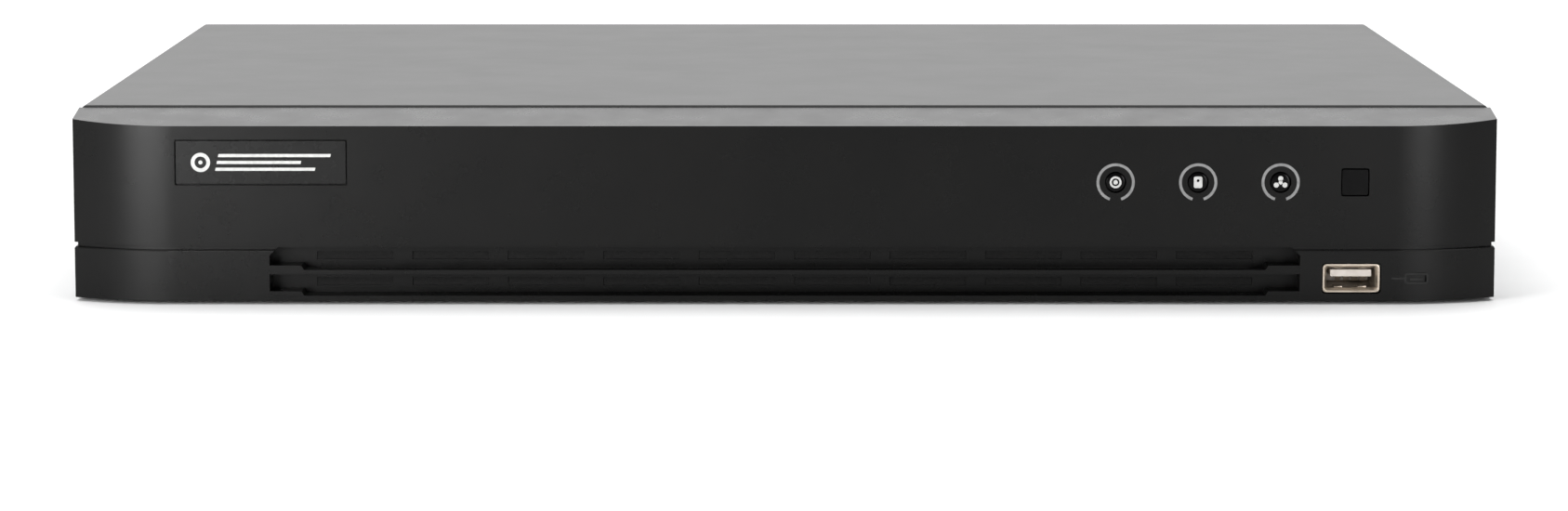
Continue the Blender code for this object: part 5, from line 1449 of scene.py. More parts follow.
@dataclass
class RearPanel:
    """The plated face of the rear panel, everything printed on it, and the painted shadow in the gap beside and
    above the network housing.
    """

    skin: float = 0.12
    ink: float = 0.04
    lift: float = 0.02
    corner: float = 3.5
    jack_hole: float = 6.2
    audio_hole: float = 5.55
    bar_break: float = 0.75
    screw_hole: float = 1.75
    small_screw: float = 1.7
    small_screw_rise: float = 1.0
    small_cross: float = 0.42
    # bars and lines: left, right, low and high; the first two are broken at each column
    long_bars: tuple[tuple[float, ...], ...] = ((-66.3, 181.9, 39.9, 42.0), (-67.4, 182.2, 5.6, 7.7))
    bars: tuple[tuple[float, ...], ...] = (
        (-82.9, -68.1, 40.8, 42.7), (-124.0, -95.4, 41.2, 42.9), (-83.4, -68.4, 5.9, 7.7),
        (-104.8, -84.8, 5.9, 7.7), (-122.0, -109.5, 5.9, 7.7), (-150.5, -128.6, 5.9, 7.7),
        # the first two bars on the next line are painted shadow in the gap beside and above the network housing; the
        # third is a printed divider
        (-129.5, -128.7, 7.7, 44.2), (-150.0, -128.7, 43.5, 44.2), (-67.25, -66.95, 8.6, 39.2),
    )
    # rows of dashes: the middle's x and z, and the width
    dashes: tuple[Place, ...] = (
        (52.0, 44.6, 13.0), (52.0, 4.5, 12.0), (-75.5, 44.2, 11.0), (-109.6, 44.4, 6.0),
        (-156.5, 45.2, 14.0), (-75.9, 4.6, 9.5), (-94.8, 4.6, 8.0), (-115.7, 4.6, 7.0),
        (-139.4, 4.6, 12.0), (-160.0, 7.8, 8.0),
    )

    def face(self) -> float:
        """Where the plated face is along Y."""
        return Box.of("base_chassis").high.y + self.lift + self.skin

    def outline(self) -> list[Point]:
        """The panel's edge, with its rounded lower corners."""
        box = Box.of("base_chassis")
        half, low, high, turn = box.high.x, box.low.z, box.high.z, self.corner
        left = sweep((turn - half, low + turn), turn, 180, 270, 9)
        right = sweep((half - turn, low + turn), turn, 270, 360, 9)
        return [(-half, high), *left, *right, (half, high)]

    def holes(self) -> list[list[Point]]:
        """The edge of every hole in the panel."""
        rows, columns = JackColumns().zs(), JackColumns().all_xs()
        holes = [circle((x, z), self.jack_hole, 40) for x in columns for z in rows]
        out = Box.of("video_out_shell")
        video = (out.centre.x, out.high.z - VideoOutJack().half)
        holes.append(circle(video, self.jack_hole, 40))
        for name in ("audio_in_ring", "audio_out_ring"):
            ring = Box.of(name)
            holes.append(circle((ring.centre.x, ring.centre.z), self.audio_hole, 36))
        cover = Box.of("top_cover")
        holes += [circle(place, self.screw_hole, 16) for place in TopCover().screws(cover)]
        for node in ("ground_screw", "vga_jackscrew_1", "vga_jackscrew_2"):
            screw = Box.of(node)
            holes.append(circle((screw.centre.x, screw.centre.z), self.screw_hole, 16))
        holes.append(MonitorPort().outline(0.3))
        holes.append(DigitalPort().outline(-GAP)[::-1])
        holes.append(WireTerminal().panel_hole())
        for node in ("network_usb_housing", "power_socket_body"):
            holes.append(Box.of(node).face(GAP))
        return holes

    def bar(self, left: float, right: float, low: float, high: float, breaks: Sequence[float] = ()) -> list[Shape]:
        """A bar of black print or of painted shadow, broken by thin gaps.

        Args:
            left: Its end at the lower x.
            right: Its end at the higher x.
            low: Its lower edge.
            high: Its upper edge.
            breaks: The x of each gap.

        Returns:
            The parts of the bar.
        """
        edges = [left]
        for x in sorted(b for b in breaks if left < b < right):
            edges += [x - self.bar_break / 2, x + self.bar_break / 2]
        edges.append(right)
        face = self.face()
        ends = (face, face + self.ink)
        middle, tall = (low + high) / 2, high - low
        pairs = zip(edges[::2], edges[1::2])
        return [prism(rectangle(((a + b) / 2, middle), (b - a, tall)), ends) for a, b in pairs]

    def printing_and_gap_shade(self) -> Shape:
        """The black bars and lines that group the sockets, with two bars of painted shadow in the gap beside and
        above the network housing.
        """
        columns = JackColumns().all_xs()
        bars = []
        for values in self.long_bars:
            bars += self.bar(*values, columns)
        for values in self.bars:
            bars += self.bar(*values)
        return merged(bars)

    def captions(self) -> Shape:
        """Short plain dashes where each group's caption stands, and the ground sign."""
        face = self.face()
        ends = (face, face + self.ink)
        marks = []
        for x, z, width in self.dashes:
            share = width / 4.4
            places = [x + share * (i - 1.5) * 1.12 for i in range(4)]
            marks += [prism(rectangle((at, z), (share * 0.82, 0.55)), ends) for at in places]
        ground = Box.of("ground_screw")
        x, z = ground.centre.x, ground.high.z + 3.4
        for width, rise in ((2.6, 0.0), (1.7, -0.6), (0.8, -1.2)):
            marks.append(prism(rectangle((x, z + rise), (width, 0.28)), ends))
        marks.append(prism(rectangle((x, z + 0.75), (0.28, 1.3)), ends))
        return merged(marks)

    def port_label(self) -> tuple[Shape, Shape]:
        """The black label over the digital port, and the plain screen sign on it."""
        digital = Box.of("digital_video_shell")
        x, z, face = digital.centre.x - 1.7, digital.high.z + 7.9, self.face()
        label = prism(softened(rectangle((x, z), (19.5, 5.8)), 1.0, 5), (face, face + self.ink))
        ends = (face + self.ink, face + 2 * self.ink)
        outer, inner = rectangle((x, z + 0.35), (6.2, 3.1)), rectangle((x, z + 0.35), (5.4, 2.3))
        parts = [pipe(outer, inner, ends), prism(rectangle((x, z - 1.7), (2.8, 0.4)), ends)]
        return label, merged(parts)

    def connector_screws(self) -> Shape:
        """The small screws that hold the socket blocks to the panel, between the columns."""
        columns = JackColumns().all_xs()
        middle = sum(JackColumns().zs()) / 2
        places = [((a + b) / 2, middle) for a, b in zip(columns[::2], columns[1::2])]
        places += [(-153.2, 24.6), (-82.7, 24.2)]
        face, head = self.face(), self.small_screw
        rise = self.small_screw_rise
        profile = [(0, face), (head, face), (head, face + rise * 0.4), (head * 0.8, face + rise * 0.85)]
        profile += [(head * 0.4, face + rise), (0, face + rise)]
        deep = (face + rise * 0.35, face + SPARE)
        arm, thin = head * 1.2, self.small_cross
        slots = [prism(rectangle((0, 0), size), deep) for size in ((arm, thin), (thin, arm))]
        return merged(copies(cut(turned(profile, 20), *slots), places))

    def build(self) -> None:
        """Builds the plated face, the print with its painted gap shadow, and the small screws."""
        start = Box.of("base_chassis").high.y + self.lift
        skin = plate(self.outline(), [hole[::-1] for hole in self.holes()], (start, start + self.skin))
        Piece("rear_panel_face", PANEL_STEEL).make(skin)
        Piece("printed_bars_and_gap_shade", BLACK_INK_AND_GAP_SHADE).make(self.printing_and_gap_shade())
        Piece("printed_captions", CAPTION_INK).make(self.captions())
        label, sign = self.port_label()
        Piece("digital_port_label", BLACK_INK_AND_GAP_SHADE).make(label)
        Piece("digital_port_sign", WHITE_INK).make(sign)
        Piece("socket_block_screws", CONNECTOR_NICKEL).make(self.connector_screws())


# Camera jacks ------------------------------------------------------------------------------------


@dataclass
class BayonetJack:
    """One bayonet jack: a turned barrel with two lugs, its insulator and its centre contact."""

    neck: float = 5.9
    neck_height: float = 1.9
    collar: float = 5.25
    collar_height: float = 3.6
    barrel: float = 4.8
    bore: float = 4.05
    reach: float = 17.5
    floor: float = 7.0
    core: float = 2.3
    core_reach: float = 16.0
    hole: float = 0.95
    contact_hole: float = 0.5
    contact_reach: float = 14.6
    lug: float = 1.0
    lug_span: float = 11.0
    lug_along: float = 12.1
    root: float = -1.6
    inner: float = 2.95
    inner_reach: float = 13.2
    sides: int = 40

    def metal(self, panel: float) -> Shape:
        """The barrel round the origin, with its two lugs.

        Args:
            panel: Where the panel's face is along Y.

        Returns:
            The barrel.
        """
        profile = [(self.bore, self.root), (self.neck, self.root), (self.neck, self.neck_height)]
        profile += [(self.collar, self.neck_height), (self.collar, self.collar_height)]
        profile += [(self.barrel, self.collar_height), (self.barrel, 8.3), (self.barrel - 0.25, 8.45), (self.barrel - 0.25, 8.95), (self.barrel, 9.1)]
        profile += [(self.barrel, self.reach - 0.55), (self.barrel - 0.4, self.reach), (self.bore + 0.2, self.reach)]
        profile += [(self.bore, self.reach - 0.25)]
        barrel = turned([(r, y + panel) for r, y in softened(profile, 0.22, 3)], self.sides)
        along = panel + self.lug_along
        outer, inner, base, top = self.bore + 0.02, self.inner, self.floor - 0.4, self.inner_reach
        collar = [(outer, base), (inner, base), (inner, top - 0.4)]
        collar += [(inner + 0.3, top), (self.bore - 0.35, top), (outer, top - 0.5)]
        lugs = [turned([(r, y + panel) for r, y in collar], self.sides)]
        for side in (-1, 1):
            ends = (self.barrel - 0.35, self.lug_span / 2)
            tip = [(0, ends[0]), (self.lug, ends[0]), (self.lug, ends[1] - 0.2)]
            tip += [(self.lug - 0.2, ends[1]), (0, ends[1])]
            lug = turned([(r, side * x) for r, x in tip], 16, (0, along, 0), Axis.X)
            lugs.append(lug)
        return joined(barrel, *lugs)

    def insulator(self, panel: float) -> Shape:
        """The sleeve in the bore with its core, round the origin.

        Args:
            panel: Where the panel's face is along Y.

        Returns:
            The insulator.
        """
        sleeve = self.bore - 0.06
        profile = [(self.hole, 0.0), (sleeve, 0.0), (sleeve, self.floor - 0.5), (self.core + 0.5, self.floor - 0.5)]
        profile += [(self.core + 0.5, self.floor + 1.2), (self.core, self.floor + 1.2)]
        profile += [(self.core, self.core_reach), (self.hole, self.core_reach)]
        return turned([(r, y + panel) for r, y in softened(profile, 0.25, 3)], 32)

    def contact(self, panel: float) -> Shape:
        """The split contact in the core, round the origin.

        Args:
            panel: Where the panel's face is along Y.

        Returns:
            The contact.
        """
        profile = [(self.contact_hole, 0.6), (self.hole - 0.04, 0.6), (self.hole - 0.04, self.contact_reach)]
        profile += [(self.contact_hole, self.contact_reach)]
        return turned([(r, y + panel) for r, y in profile], 20)


@dataclass
class JackSet:
    """A casting with one or more bayonet jacks on it."""

    names: tuple[str, str, str]
    shell_node: str
    insulator_node: str
    casting_depth: float = 12.0
    carrier_depth: float = 6.0

    def build(self, places: Sequence[Point], legs: Sequence[tuple[Span, Span]] = ()) -> None:
        """Builds the casting with its jacks, the insulators and the contacts.

        Args:
            places: The x and z of each jack.
            legs: The x and z ranges of each leg under the casting.
        """
        panel = Box.of("base_chassis").high.y
        shell, carrier = Box.of(self.shell_node), Box.of(self.insulator_node)
        jack = BayonetJack()
        face = shell.low.y + self.casting_depth
        bottom = shell.low.z if not legs else places[0][1] - VideoOutJack().half
        across, high = (shell.low.x, shell.high.x), (bottom, shell.high.z)
        metal = [block(across, (shell.low.y, face), high)]
        metal += [block(x, (shell.low.y, face), z) for x, z in legs]
        cream = [block(across, (carrier.low.y, carrier.low.y + self.carrier_depth), high)]
        metal += copies(jack.metal(panel), places)
        cream += copies(jack.insulator(panel), places)
        pins = copies(jack.contact(panel), places)
        Piece(self.names[0], CONNECTOR_NICKEL, replaces=(self.shell_node,)).make(merged(metal))
        Piece(self.names[1], INSULATOR_WHITE, replaces=(self.insulator_node,)).make(merged(cream))
        Piece(self.names[2], CONTACT_IN_PAINTED_SHADE).make(merged(pins))


@dataclass
class CameraJacks:
    """The four blocks of eight camera jacks."""

    columns: JackColumns = field(default_factory=JackColumns)

    def build(self) -> None:
        """Builds the four blocks."""
        for number in range(1, self.columns.blocks + 1):
            names = (f"camera_jacks_{number}", f"camera_jack_insulators_{number}", f"camera_jack_contacts_{number}")
            jacks = JackSet(names, f"camera_socket_block_{number}", f"camera_insulator_block_{number}")
            jacks.build([(x, z) for x in self.columns.xs(number) for z in self.columns.zs()])


@dataclass
class VideoOutJack:
    """The single video output jack, on a casting with a leg beside the power socket."""

    half: float = 7.2
    leg: float = 5.0

    def build(self) -> None:
        """Builds the jack and its casting."""
        box = Box.of("video_out_shell")
        x, z = box.centre.x, box.high.z - self.half
        names = ("video_out_jack", "video_out_jack_insulator", "video_out_jack_contact")
        leg = ((box.high.x - self.leg, box.high.x), (box.low.z, z))
        JackSet(names, "video_out_shell", "video_out_insulator").build([(x, z)], [leg])


# Other sockets on the rear panel -----------------------------------------------------------------


@dataclass
class AudioJacks:
    """The two stacked audio jacks: a metal ring and a coloured insert for each."""

    neck: float = 5.3
    neck_height: float = 1.8
    barrel: float = 4.4
    wall: float = 0.4
    hole: float = 1.6
    floor: float = 1.0

    def build(self) -> None:
        """Builds both jacks."""
        panel = Box.of("base_chassis").high.y
        for name, finish in (("audio_in", INSERT_RED), ("audio_out", AUDIO_WHITE)):
            ring, insert = Box.of(f"{name}_ring"), Box.of(f"{name}_insert")
            at = (ring.centre.x, 0, ring.centre.z)
            bore, neck, tip = self.barrel - self.wall, panel + self.neck_height, ring.high.y
            profile = [(bore, ring.low.y), (self.neck, ring.low.y), (self.neck, neck), (self.barrel + 0.25, neck)]
            profile += [(self.barrel + 0.25, neck + 0.9), (self.barrel, neck + 1.1), (self.barrel, tip - 0.3)]
            profile += [(self.barrel - 0.2, tip), (bore, tip)]
            Piece(f"{name}_barrel", CONNECTOR_STEEL, replaces=(f"{name}_ring",)).make(
                turned(softened(profile, 0.15, 3), 48, at)
            )
            face, deep = insert.high.y, insert.low.y + self.floor
            outer = bore - 0.12
            plug = [(0, insert.low.y), (outer, insert.low.y), (outer, face), (self.hole + 0.5, face)]
            plug += [(self.hole, face - 0.6), (self.hole, deep), (0, deep)]
            Piece(f"{name}_moulding", finish, replaces=(f"{name}_insert",)).make(
                turned(softened(plug, 0.35, 4), 40, at)
            )
            sleeve = [(self.hole - 0.25, deep + 0.2), (self.hole - 0.03, deep + 0.2), (self.hole - 0.03, face - 1.6)]
            sleeve += [(self.hole - 0.25, face - 1.6)]
            Piece(f"{name}_contact", CONTACT_IN_PAINTED_SHADE).make(turned(sleeve, 24, at))


@dataclass
class MonitorPort:
    """The fifteen-hole monitor port: a D-shaped shell, its blue insert and two hex standoffs."""

    shell: Point = (16.9, 8.3)
    slant: float = 1.6
    wall: float = 0.5
    corner: float = 2.0
    plate: float = 0.8
    insert_setback: float = 0.8
    body_depth: float = 11.0
    hole: float = 0.52
    hole_pitch: float = 2.29
    row_pitch: float = 1.98
    hole_shift: float = 0.28
    screw_hole: float = 1.75
    rows: tuple[tuple[int, float], ...] = ((5, 0.0), (5, -0.55), (5, 0.0))
    thread: float = 1.4
    standoff: float = 2.7

    def outline(self, grow: float) -> list[Point]:
        """The shell's rounded outline, grown by an amount."""
        box = Box.of("vga_shell")
        x, z = box.centre.x, box.centre.z
        wide, high = self.shell[0] / 2 + grow, self.shell[1] / 2 + grow
        low = wide - self.slant
        corners = [(x - wide, z + high), (x - low, z - high), (x + low, z - high), (x + wide, z + high)]
        return softened(corners, max(0.6, self.corner + grow), 6)

    def hole_places(self) -> list[Point]:
        """The places of the fifteen holes, as x and z."""
        box = Box.of("vga_shell")
        places = []
        for row, (count, lean) in enumerate(self.rows):
            z = box.centre.z + self.row_pitch * (1 - row)
            left = box.centre.x - self.hole_pitch * (count - 1) / 2 + lean + self.hole_shift
            places += [(left + self.hole_pitch * i, z) for i in range(count)]
        return places

    def build(self) -> None:
        """Builds the shell, the insert, its contacts and the standoffs."""
        box, blue = Box.of("vga_shell"), Box.of("vga_insulator")
        x, tip = box.centre.x, box.high.y
        front = box.low.y + self.plate
        bore = self.outline(-self.wall)
        flange = softened(box.face(), 1.5, 5)
        screws = [Box.of(f"vga_jackscrew_{i}").centre for i in (1, 2)]
        holes = [bore[::-1], *[circle((s.x, s.z), self.screw_hole, 20)[::-1] for s in screws]]
        face = plate(flange, holes, (box.low.y, front))
        tube = pipe(self.outline(0.0), bore, (front - 0.2, tip))
        shell = Piece("monitor_port_shell", CONNECTOR_STEEL, replaces=("vga_shell",), edge=0.12)
        shell.make(merged((face, tube)))

        nose_tip = tip - self.insert_setback
        nose = self.outline(-self.wall - 0.12)
        back = box.low.y - GAP
        body = block((blue.low.x, blue.high.x), (blue.low.y, back), (box.low.z, box.high.z))
        legs = [
            block((x + left, x + left + width), (back - self.body_depth, back), (blue.low.z, box.low.z + 0.5))
            for left, width in ((-15.0, 4.6), (0.9, 5.5))
        ]
        pits = [circle(place, self.hole, 12)[::-1] for place in self.hole_places()]
        front_layer = plate(nose, pits, (nose_tip - 4.0, nose_tip))
        back_layer = prism(nose, (back - 1.0, nose_tip - 4.0))
        parts = merged((body, *legs, front_layer, back_layer))
        Piece("monitor_port_insert", INSULATOR_BLUE, replaces=("vga_insulator",)).make(parts)
        depth = (nose_tip - 3.9, nose_tip - 1.2)
        pins = [prism(circle(place, self.hole - 0.02, 10), depth) for place in self.hole_places()]
        Piece("monitor_port_contacts", CONTACT_IN_PAINTED_SHADE).make(merged(pins))

        for number, screw in enumerate(screws, 1):
            node = f"vga_jackscrew_{number}"
            box, at = Box.of(node), (screw.x, screw.z)
            start = Box.of("base_chassis").high.y + GAP
            sleeve = pipe(circle(at, self.standoff, 6), circle(at, self.thread, 20), (start, box.high.y))
            core = rod(self.thread, (box.low.y, start + 2.2), at, sides=20)
            standoff = Piece(f"monitor_port_standoff_{number}", CONNECTOR_NICKEL, replaces=(node,), edge=0.18)
            standoff.make(merged((sleeve, core)))


@dataclass
class DigitalPort:
    """The digital monitor port: a folded shell with a contact tongue in it."""

    wall: float = 0.4
    corner: float = 1.9
    tongue: Point = (11.4, 1.3)
    contacts: int = 10
    contact_pitch: float = 1.0

    def outline(self, inset: float) -> list[Point]:
        """The port's outline, with its lower corners cut off, moved in by an amount."""
        box = Box.of("digital_video_shell")
        x, z = box.centre.x, box.centre.z
        wide, high = box.size.x / 2 - inset, box.size.z / 2 - inset
        low, step = wide - self.corner, self.corner - high
        corners = [(-wide, high), (-wide, step), (-low, -high), (low, -high), (wide, step), (wide, high)]
        return softened([(x + dx, z + dz) for dx, dz in corners], 0.55, 4)

    def build(self) -> None:
        """Builds the shell, the tongue and its contacts."""
        box = Box.of("digital_video_shell")
        inner = self.outline(self.wall)
        tube = pipe(self.outline(0.0), inner, (box.low.y, box.high.y))
        back = prism(inner, (box.low.y, box.low.y + self.wall))
        shell = Piece("digital_port_shell", CONNECTOR_STEEL, replaces=("digital_video_shell",), edge=0.1)
        shell.make(merged((tube, back)))
        floor = box.low.y + self.wall + GAP
        root = prism(self.outline(self.wall + 0.15), (floor, floor + 2.0))
        x, z = box.centre.x, box.centre.z + 0.3
        tip = Box.of("digital_video_tongue").high.y
        edges = self.outline(self.wall + 0.04), self.outline(self.wall + 0.45)
        lining = pipe(*edges, (floor, box.high.y - 0.6))
        blade = prism(softened(rectangle((x, z), self.tongue), 0.3), (floor + 1.0, tip))
        tongue = Piece("digital_port_tongue", SOCKET_BLACK, replaces=("digital_video_tongue",), edge=0.08)
        tongue.make(merged((root, blade, lining)))
        xs = evenly(x, self.contact_pitch, self.contacts)
        sides = (z - self.tongue[1] / 2 - 0.03, z + self.tongue[1] / 2 + 0.03)
        pads = [around((at, tip - 3.4, side), (0.5, 5.4, 0.12)) for at in xs for side in sides]
        Piece("digital_port_contacts", CONTACT_GOLD).make(merged(pads))


@dataclass
class WireTerminal:
    """The two-pole wire terminal with its two release buttons."""

    tall: float = 5.6
    low: float = 3.2
    step: float = 2.6
    wire_drop: float = 6.4
    wire_radius: float = 0.9
    wire_depth: float = 8.0
    slot: Point = (1.2, 0.45)

    def outline(self, grow: float = 0.0) -> list[Point]:
        """The block seen from behind, grown by an amount."""
        box = Box.of("terminal_block")
        line = box.high.x - self.tall
        right, left, bottom = box.high.x + grow, box.low.x - grow, box.low.z - grow
        top = box.high.z + grow
        shoulder = top - self.step
        corners = [(right, bottom), (right, top), (line - grow, top), (line - grow, shoulder)]
        return [*corners, (left, shoulder), (left, bottom)]

    def panel_hole(self) -> list[Point]:
        """The edge of the panel's hole for the block."""
        return self.outline(GAP)[::-1]

    def build(self) -> None:
        """Builds the block and its two buttons."""
        box = Box.of("terminal_block")
        face = box.high.y
        buttons = [Box.of("terminal_button_1"), Box.of("terminal_button_2")]
        low_x, high_x = min(b.low.x for b in buttons), max(b.high.x for b in buttons)
        pocket = block(
            (low_x - GAP, high_x + GAP),
            (buttons[0].low.y - 1.5 - GAP, face + SPARE),
            (buttons[0].low.z - GAP, buttons[0].high.z + GAP),
        )
        wire_z = box.high.z - self.wire_drop
        bells = []
        for button in buttons:
            at = (button.centre.x, 0, wire_z)
            deep, lip = face - self.wire_depth, self.wire_radius + 0.18
            bell = [(0, deep), (self.wire_radius, deep), (self.wire_radius, face - 0.6), (lip, face)]
            bells.append(turned([*bell, (lip, face + 1), (0, face + 1)], 20, at))
        line = box.high.x - self.tall / 2
        seam = block((line - 0.1, line + 0.1), (face - 0.25, face + 1), (box.low.z - 1, wire_z - 1.4))
        ledge = block((box.low.x - 1, box.high.x + 1), (face - 0.3, face + 1), (box.low.z + 1.1, box.low.z + 1.35))
        body = cut(prism(self.outline(), (box.low.y, face)), pocket, *bells, seam, ledge)
        Piece("wire_terminal", TERMINAL_GREEN, replaces=("terminal_block",), edge=0.16).make(body)
        for number, (button, rides) in enumerate(zip(buttons, (Body.BUTTON_1, Body.BUTTON_2)), 1):
            x, z = button.centre.x, button.centre.z
            key = prism(softened(button.face(), 0.2), (button.low.y, button.high.y))
            nick = prism(rectangle((x, z), self.slot), (button.high.y - 0.35, button.high.y + 1))
            node = f"terminal_button_{number}"
            Piece(f"release_button_{number}", BUTTON_ORANGE, rides, (node,), 0.12).make(cut(key, nick))


@dataclass
class NetworkStack:
    """The network socket over two serial ports, in one folded steel housing."""

    wall: float = 0.6
    port_rise: tuple[float, float] = (4.2, 13.1)
    port_opening: Point = (13.2, 5.4)
    port_depth: float = 12.5
    network_floor: float = 19.6
    network_opening: Point = (12.6, 7.8)
    steps: tuple[Point, ...] = ((6.0, 1.6), (4.2, 1.4))
    slope: float = 0.7
    contacts: int = 8
    contact_pitch: float = 1.02

    def network_outline(self, grow: float = 0.0) -> list[Point]:
        """The stepped edge of the network opening, grown by an amount."""
        box = Box.of("network_usb_housing")
        x, level = box.centre.x, box.low.z + self.network_floor
        right = [(self.network_opening[0] / 2 + grow, level - grow)]
        width, top = self.network_opening[0] / 2 + grow, level + self.network_opening[1] + grow
        right.append((width, top - self.slope))
        for step_width, step_height in self.steps:
            right += [(step_width / 2 + grow + self.slope, top), (step_width / 2 + grow, top + self.slope)]
            top += step_height
        right.append((self.steps[-1][0] / 2 + grow, top))
        return [(x + dx, z) for dx, z in right] + [(x - dx, z) for dx, z in reversed(right)]

    def housing(self, box: Box) -> Shape:
        """The steel housing: its face with three openings, and its folded body."""
        x = box.centre.x
        face = (box.high.y - self.wall, box.high.y)
        ports = [softened(rectangle((x, box.low.z + rise), self.port_opening), 0.5) for rise in self.port_rise]
        edge = softened(box.face(), 0.7)
        front = plate(edge, [self.network_outline()[::-1], *[port[::-1] for port in ports]], face)
        body = pipe(edge, box.face(-self.wall), (box.low.y, face[0]))
        back = prism(edge, (box.low.y, box.low.y + self.wall))
        springs = []
        for rise in self.port_rise:
            for side in (-1, 1):
                for row in (-1, 1):
                    z = box.low.z + rise + row * (self.port_opening[1] / 2 - 0.1)
                    springs.append(around((x + side * 3.3, box.high.y - 3.4, z), (1.8, 4.6, 0.35)))
        return merged((front, body, back, *springs))

    def pocket_lining(self, outline: list[Point], ends: Span) -> Shape:
        """A dark sleeve behind an opening, closed at its back.

        Args:
            outline: The edge of the opening.
            ends: Where the sleeve's back and front are along Y.

        Returns:
            The sleeve.
        """
        centre = Vector((sum(p[0] for p in outline), sum(p[1] for p in outline))) / len(outline)
        grown = []
        for p in outline:
            away = Vector(p) - centre
            grown.append((p[0] + math.copysign(0.5, away.x), p[1] + math.copysign(0.5, away.y)))
        tube = pipe(grown, outline, ends)
        back = prism(grown, (ends[0] - 0.5, ends[0]))
        return merged((tube, back))

    def build(self) -> None:
        """Builds the housing, the network insert with its contacts, and the two serial ports."""
        box = Box.of("network_usb_housing")
        shell = Piece("network_port_housing", CONNECTOR_STEEL, replaces=("network_usb_housing",), edge=0.12)
        shell.make(self.housing(box))
        insert = Box.of("network_insert")
        ends = (insert.low.y + 2.0, box.high.y - self.wall - 0.05)
        Piece("network_port_insert", SOCKET_BLACK, replaces=("network_insert",)).make(
            self.pocket_lining(self.network_outline(0.05), ends)
        )
        x, floor = box.centre.x, box.low.z + self.network_floor
        wires = []
        for at in evenly(x, self.contact_pitch, self.contacts):
            outline = [(ends[1] - 1.2, floor + 0.1), (ends[1] - 1.2, floor + 0.4), (ends[0] + 1.5, floor + 3.6)]
            outline += [(ends[0] + 1.2, floor + 3.4), (ends[1] - 2.0, floor + 0.1)]
            wires.append(prism(outline, (at - 0.18, at + 0.18), Axis.X))
        Piece("network_port_contacts", CONTACT_GOLD).make(merged(wires))
        lining = []
        port = SerialPort()
        for number, rise in enumerate(self.port_rise, 1):
            z = box.low.z + rise
            half = Vector((self.port_opening[0] / 2, 0, self.port_opening[1] / 2))
            low = Vector((x, box.high.y - self.port_depth, z)) - half
            high = Vector((x, box.high.y, z)) + half
            pocket = Box(low, high)
            shape = port.tongue_shape(pocket, PortFacing.REAR, 2.0)
            node = f"rear_usb_tongue_{number}"
            Piece(f"rear_port_tongue_{number}", TONGUE_BLUE, replaces=(node,), edge=0.15).make(shape)
            Piece(f"rear_port_contacts_{number}", CONTACT_GOLD).make(port.contacts(pocket, PortFacing.REAR))
            opening = softened(rectangle((x, z), self.port_opening), 0.5)
            ends = (box.high.y - self.port_depth, box.high.y - self.wall - 0.05)
            lining.append(self.pocket_lining(opening, ends))
        Piece("rear_port_linings", CONNECTOR_STEEL).make(merged(lining))


@dataclass
class PowerPort:
    """The round power socket: a square moulding with a bore, its spring sleeve and its pin."""

    bore: float = 3.2
    depth: float = 9.5
    rise: float = 6.0
    pin: float = 1.05
    setback: float = 1.0

    def build(self) -> None:
        """Builds the moulding, the sleeve and the pin."""
        box, pin = Box.of("power_socket_body"), Box.of("power_socket_pin")
        x, z, face = box.centre.x, pin.centre.z, box.high.y
        body = prism(softened(box.face(), 0.5), (box.low.y, face))
        lip = self.bore + 0.5
        hole = [(0, face - self.depth), (self.bore, face - self.depth), (self.bore, face - 0.5), (lip, face)]
        hole += [(lip, face + 1), (0, face + 1)]
        rim = [(4.15, face - 0.35), (4.45, face - 0.35), (4.45, face + 1), (4.15, face + 1)]
        shape = cut(body, turned(hole, 36, (x, 0, z)), turned(rim, 36, (x, 0, z)))
        Piece("power_port_moulding", SOCKET_BLACK, replaces=("power_socket_body",), edge=0.15).make(shape)
        sleeve = [(self.bore - 0.25, face - self.depth + 0.2), (self.bore - 0.03, face - self.depth + 0.2)]
        sleeve += [(self.bore - 0.03, face - 2.4), (self.bore - 0.25, face - 2.4)]
        Piece("power_port_sleeve", CONNECTOR_STEEL).make(turned(sleeve, 32, (x, 0, z)))
        tip = pin.high.y
        needle = [(0, pin.low.y), (self.pin, pin.low.y), (self.pin, tip - 0.7), (self.pin * 0.7, tip - 0.15)]
        needle += [(self.pin * 0.35, tip), (0, tip)]
        Piece("power_port_pin", CONNECTOR_STEEL, replaces=("power_socket_pin",)).make(turned(needle, 24, (x, 0, z)))


# Inside ------------------------------------------------------------------------------------------


@dataclass
class InnerParts:
    """The frame's own solids that keep their shape: their finishes."""

    finishes: tuple[tuple[Finish, tuple[str, ...]], ...] = (
        (PANEL_STEEL, ("base_chassis",)),
        (BOARD_GREEN, ("main_board", "front_board", "hdd_board")),
        (CAST_ALUMINIUM, ("hdd_casting", "heat_sink", "hdd_arm")),
        (DRIVE_STEEL, ("hdd_lid", "hdd_platters", "clock_battery")),
        (SOCKET_BLACK, ("fan_frame", "fan_rotor", "audio_housing")),
        (CABLE_RED, ("drive_cable",)),
        (RIBBON_GREY, ("front_ribbon_cable",)),
    )

    def dress(self) -> None:
        """Gives each of them its finish."""
        for finish, nodes in self.finishes:
            for node in nodes:
                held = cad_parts[node]
                if not held.material_slots:
                    held.data.materials.append(finish.material())
                for slot in held.material_slots:
                    slot.material = finish.material()
                LOG.info("%s: finished in %s", node, finish.name)


# Studio ------------------------------------------------------------------------------------------


@dataclass(frozen=True)
class SoftLight:
    """A soft studio light: where it stands, what it faces, its size in metres and its power."""

    name: str
    at: Place
    facing: Place
    size: Point
    power: float
    tone: Colour = (1.0, 1.0, 1.0)

    def build(self) -> None:
        """Builds the light."""
        lamp = bpy.data.lights.new(self.name, "AREA")
        lamp.shape = "RECTANGLE"
        lamp.size, lamp.size_y = self.size
        lamp.energy = self.power
        lamp.color = self.tone
        stand = bpy.data.objects.new(self.name, lamp)
        stand.location = self.at
        aim = Vector(self.facing) - Vector(self.at)
        stand.rotation_euler = aim.to_track_quat("-Z", "Y").to_euler()
        stand.visible_camera = False
        bpy.context.scene.collection.objects.link(stand)


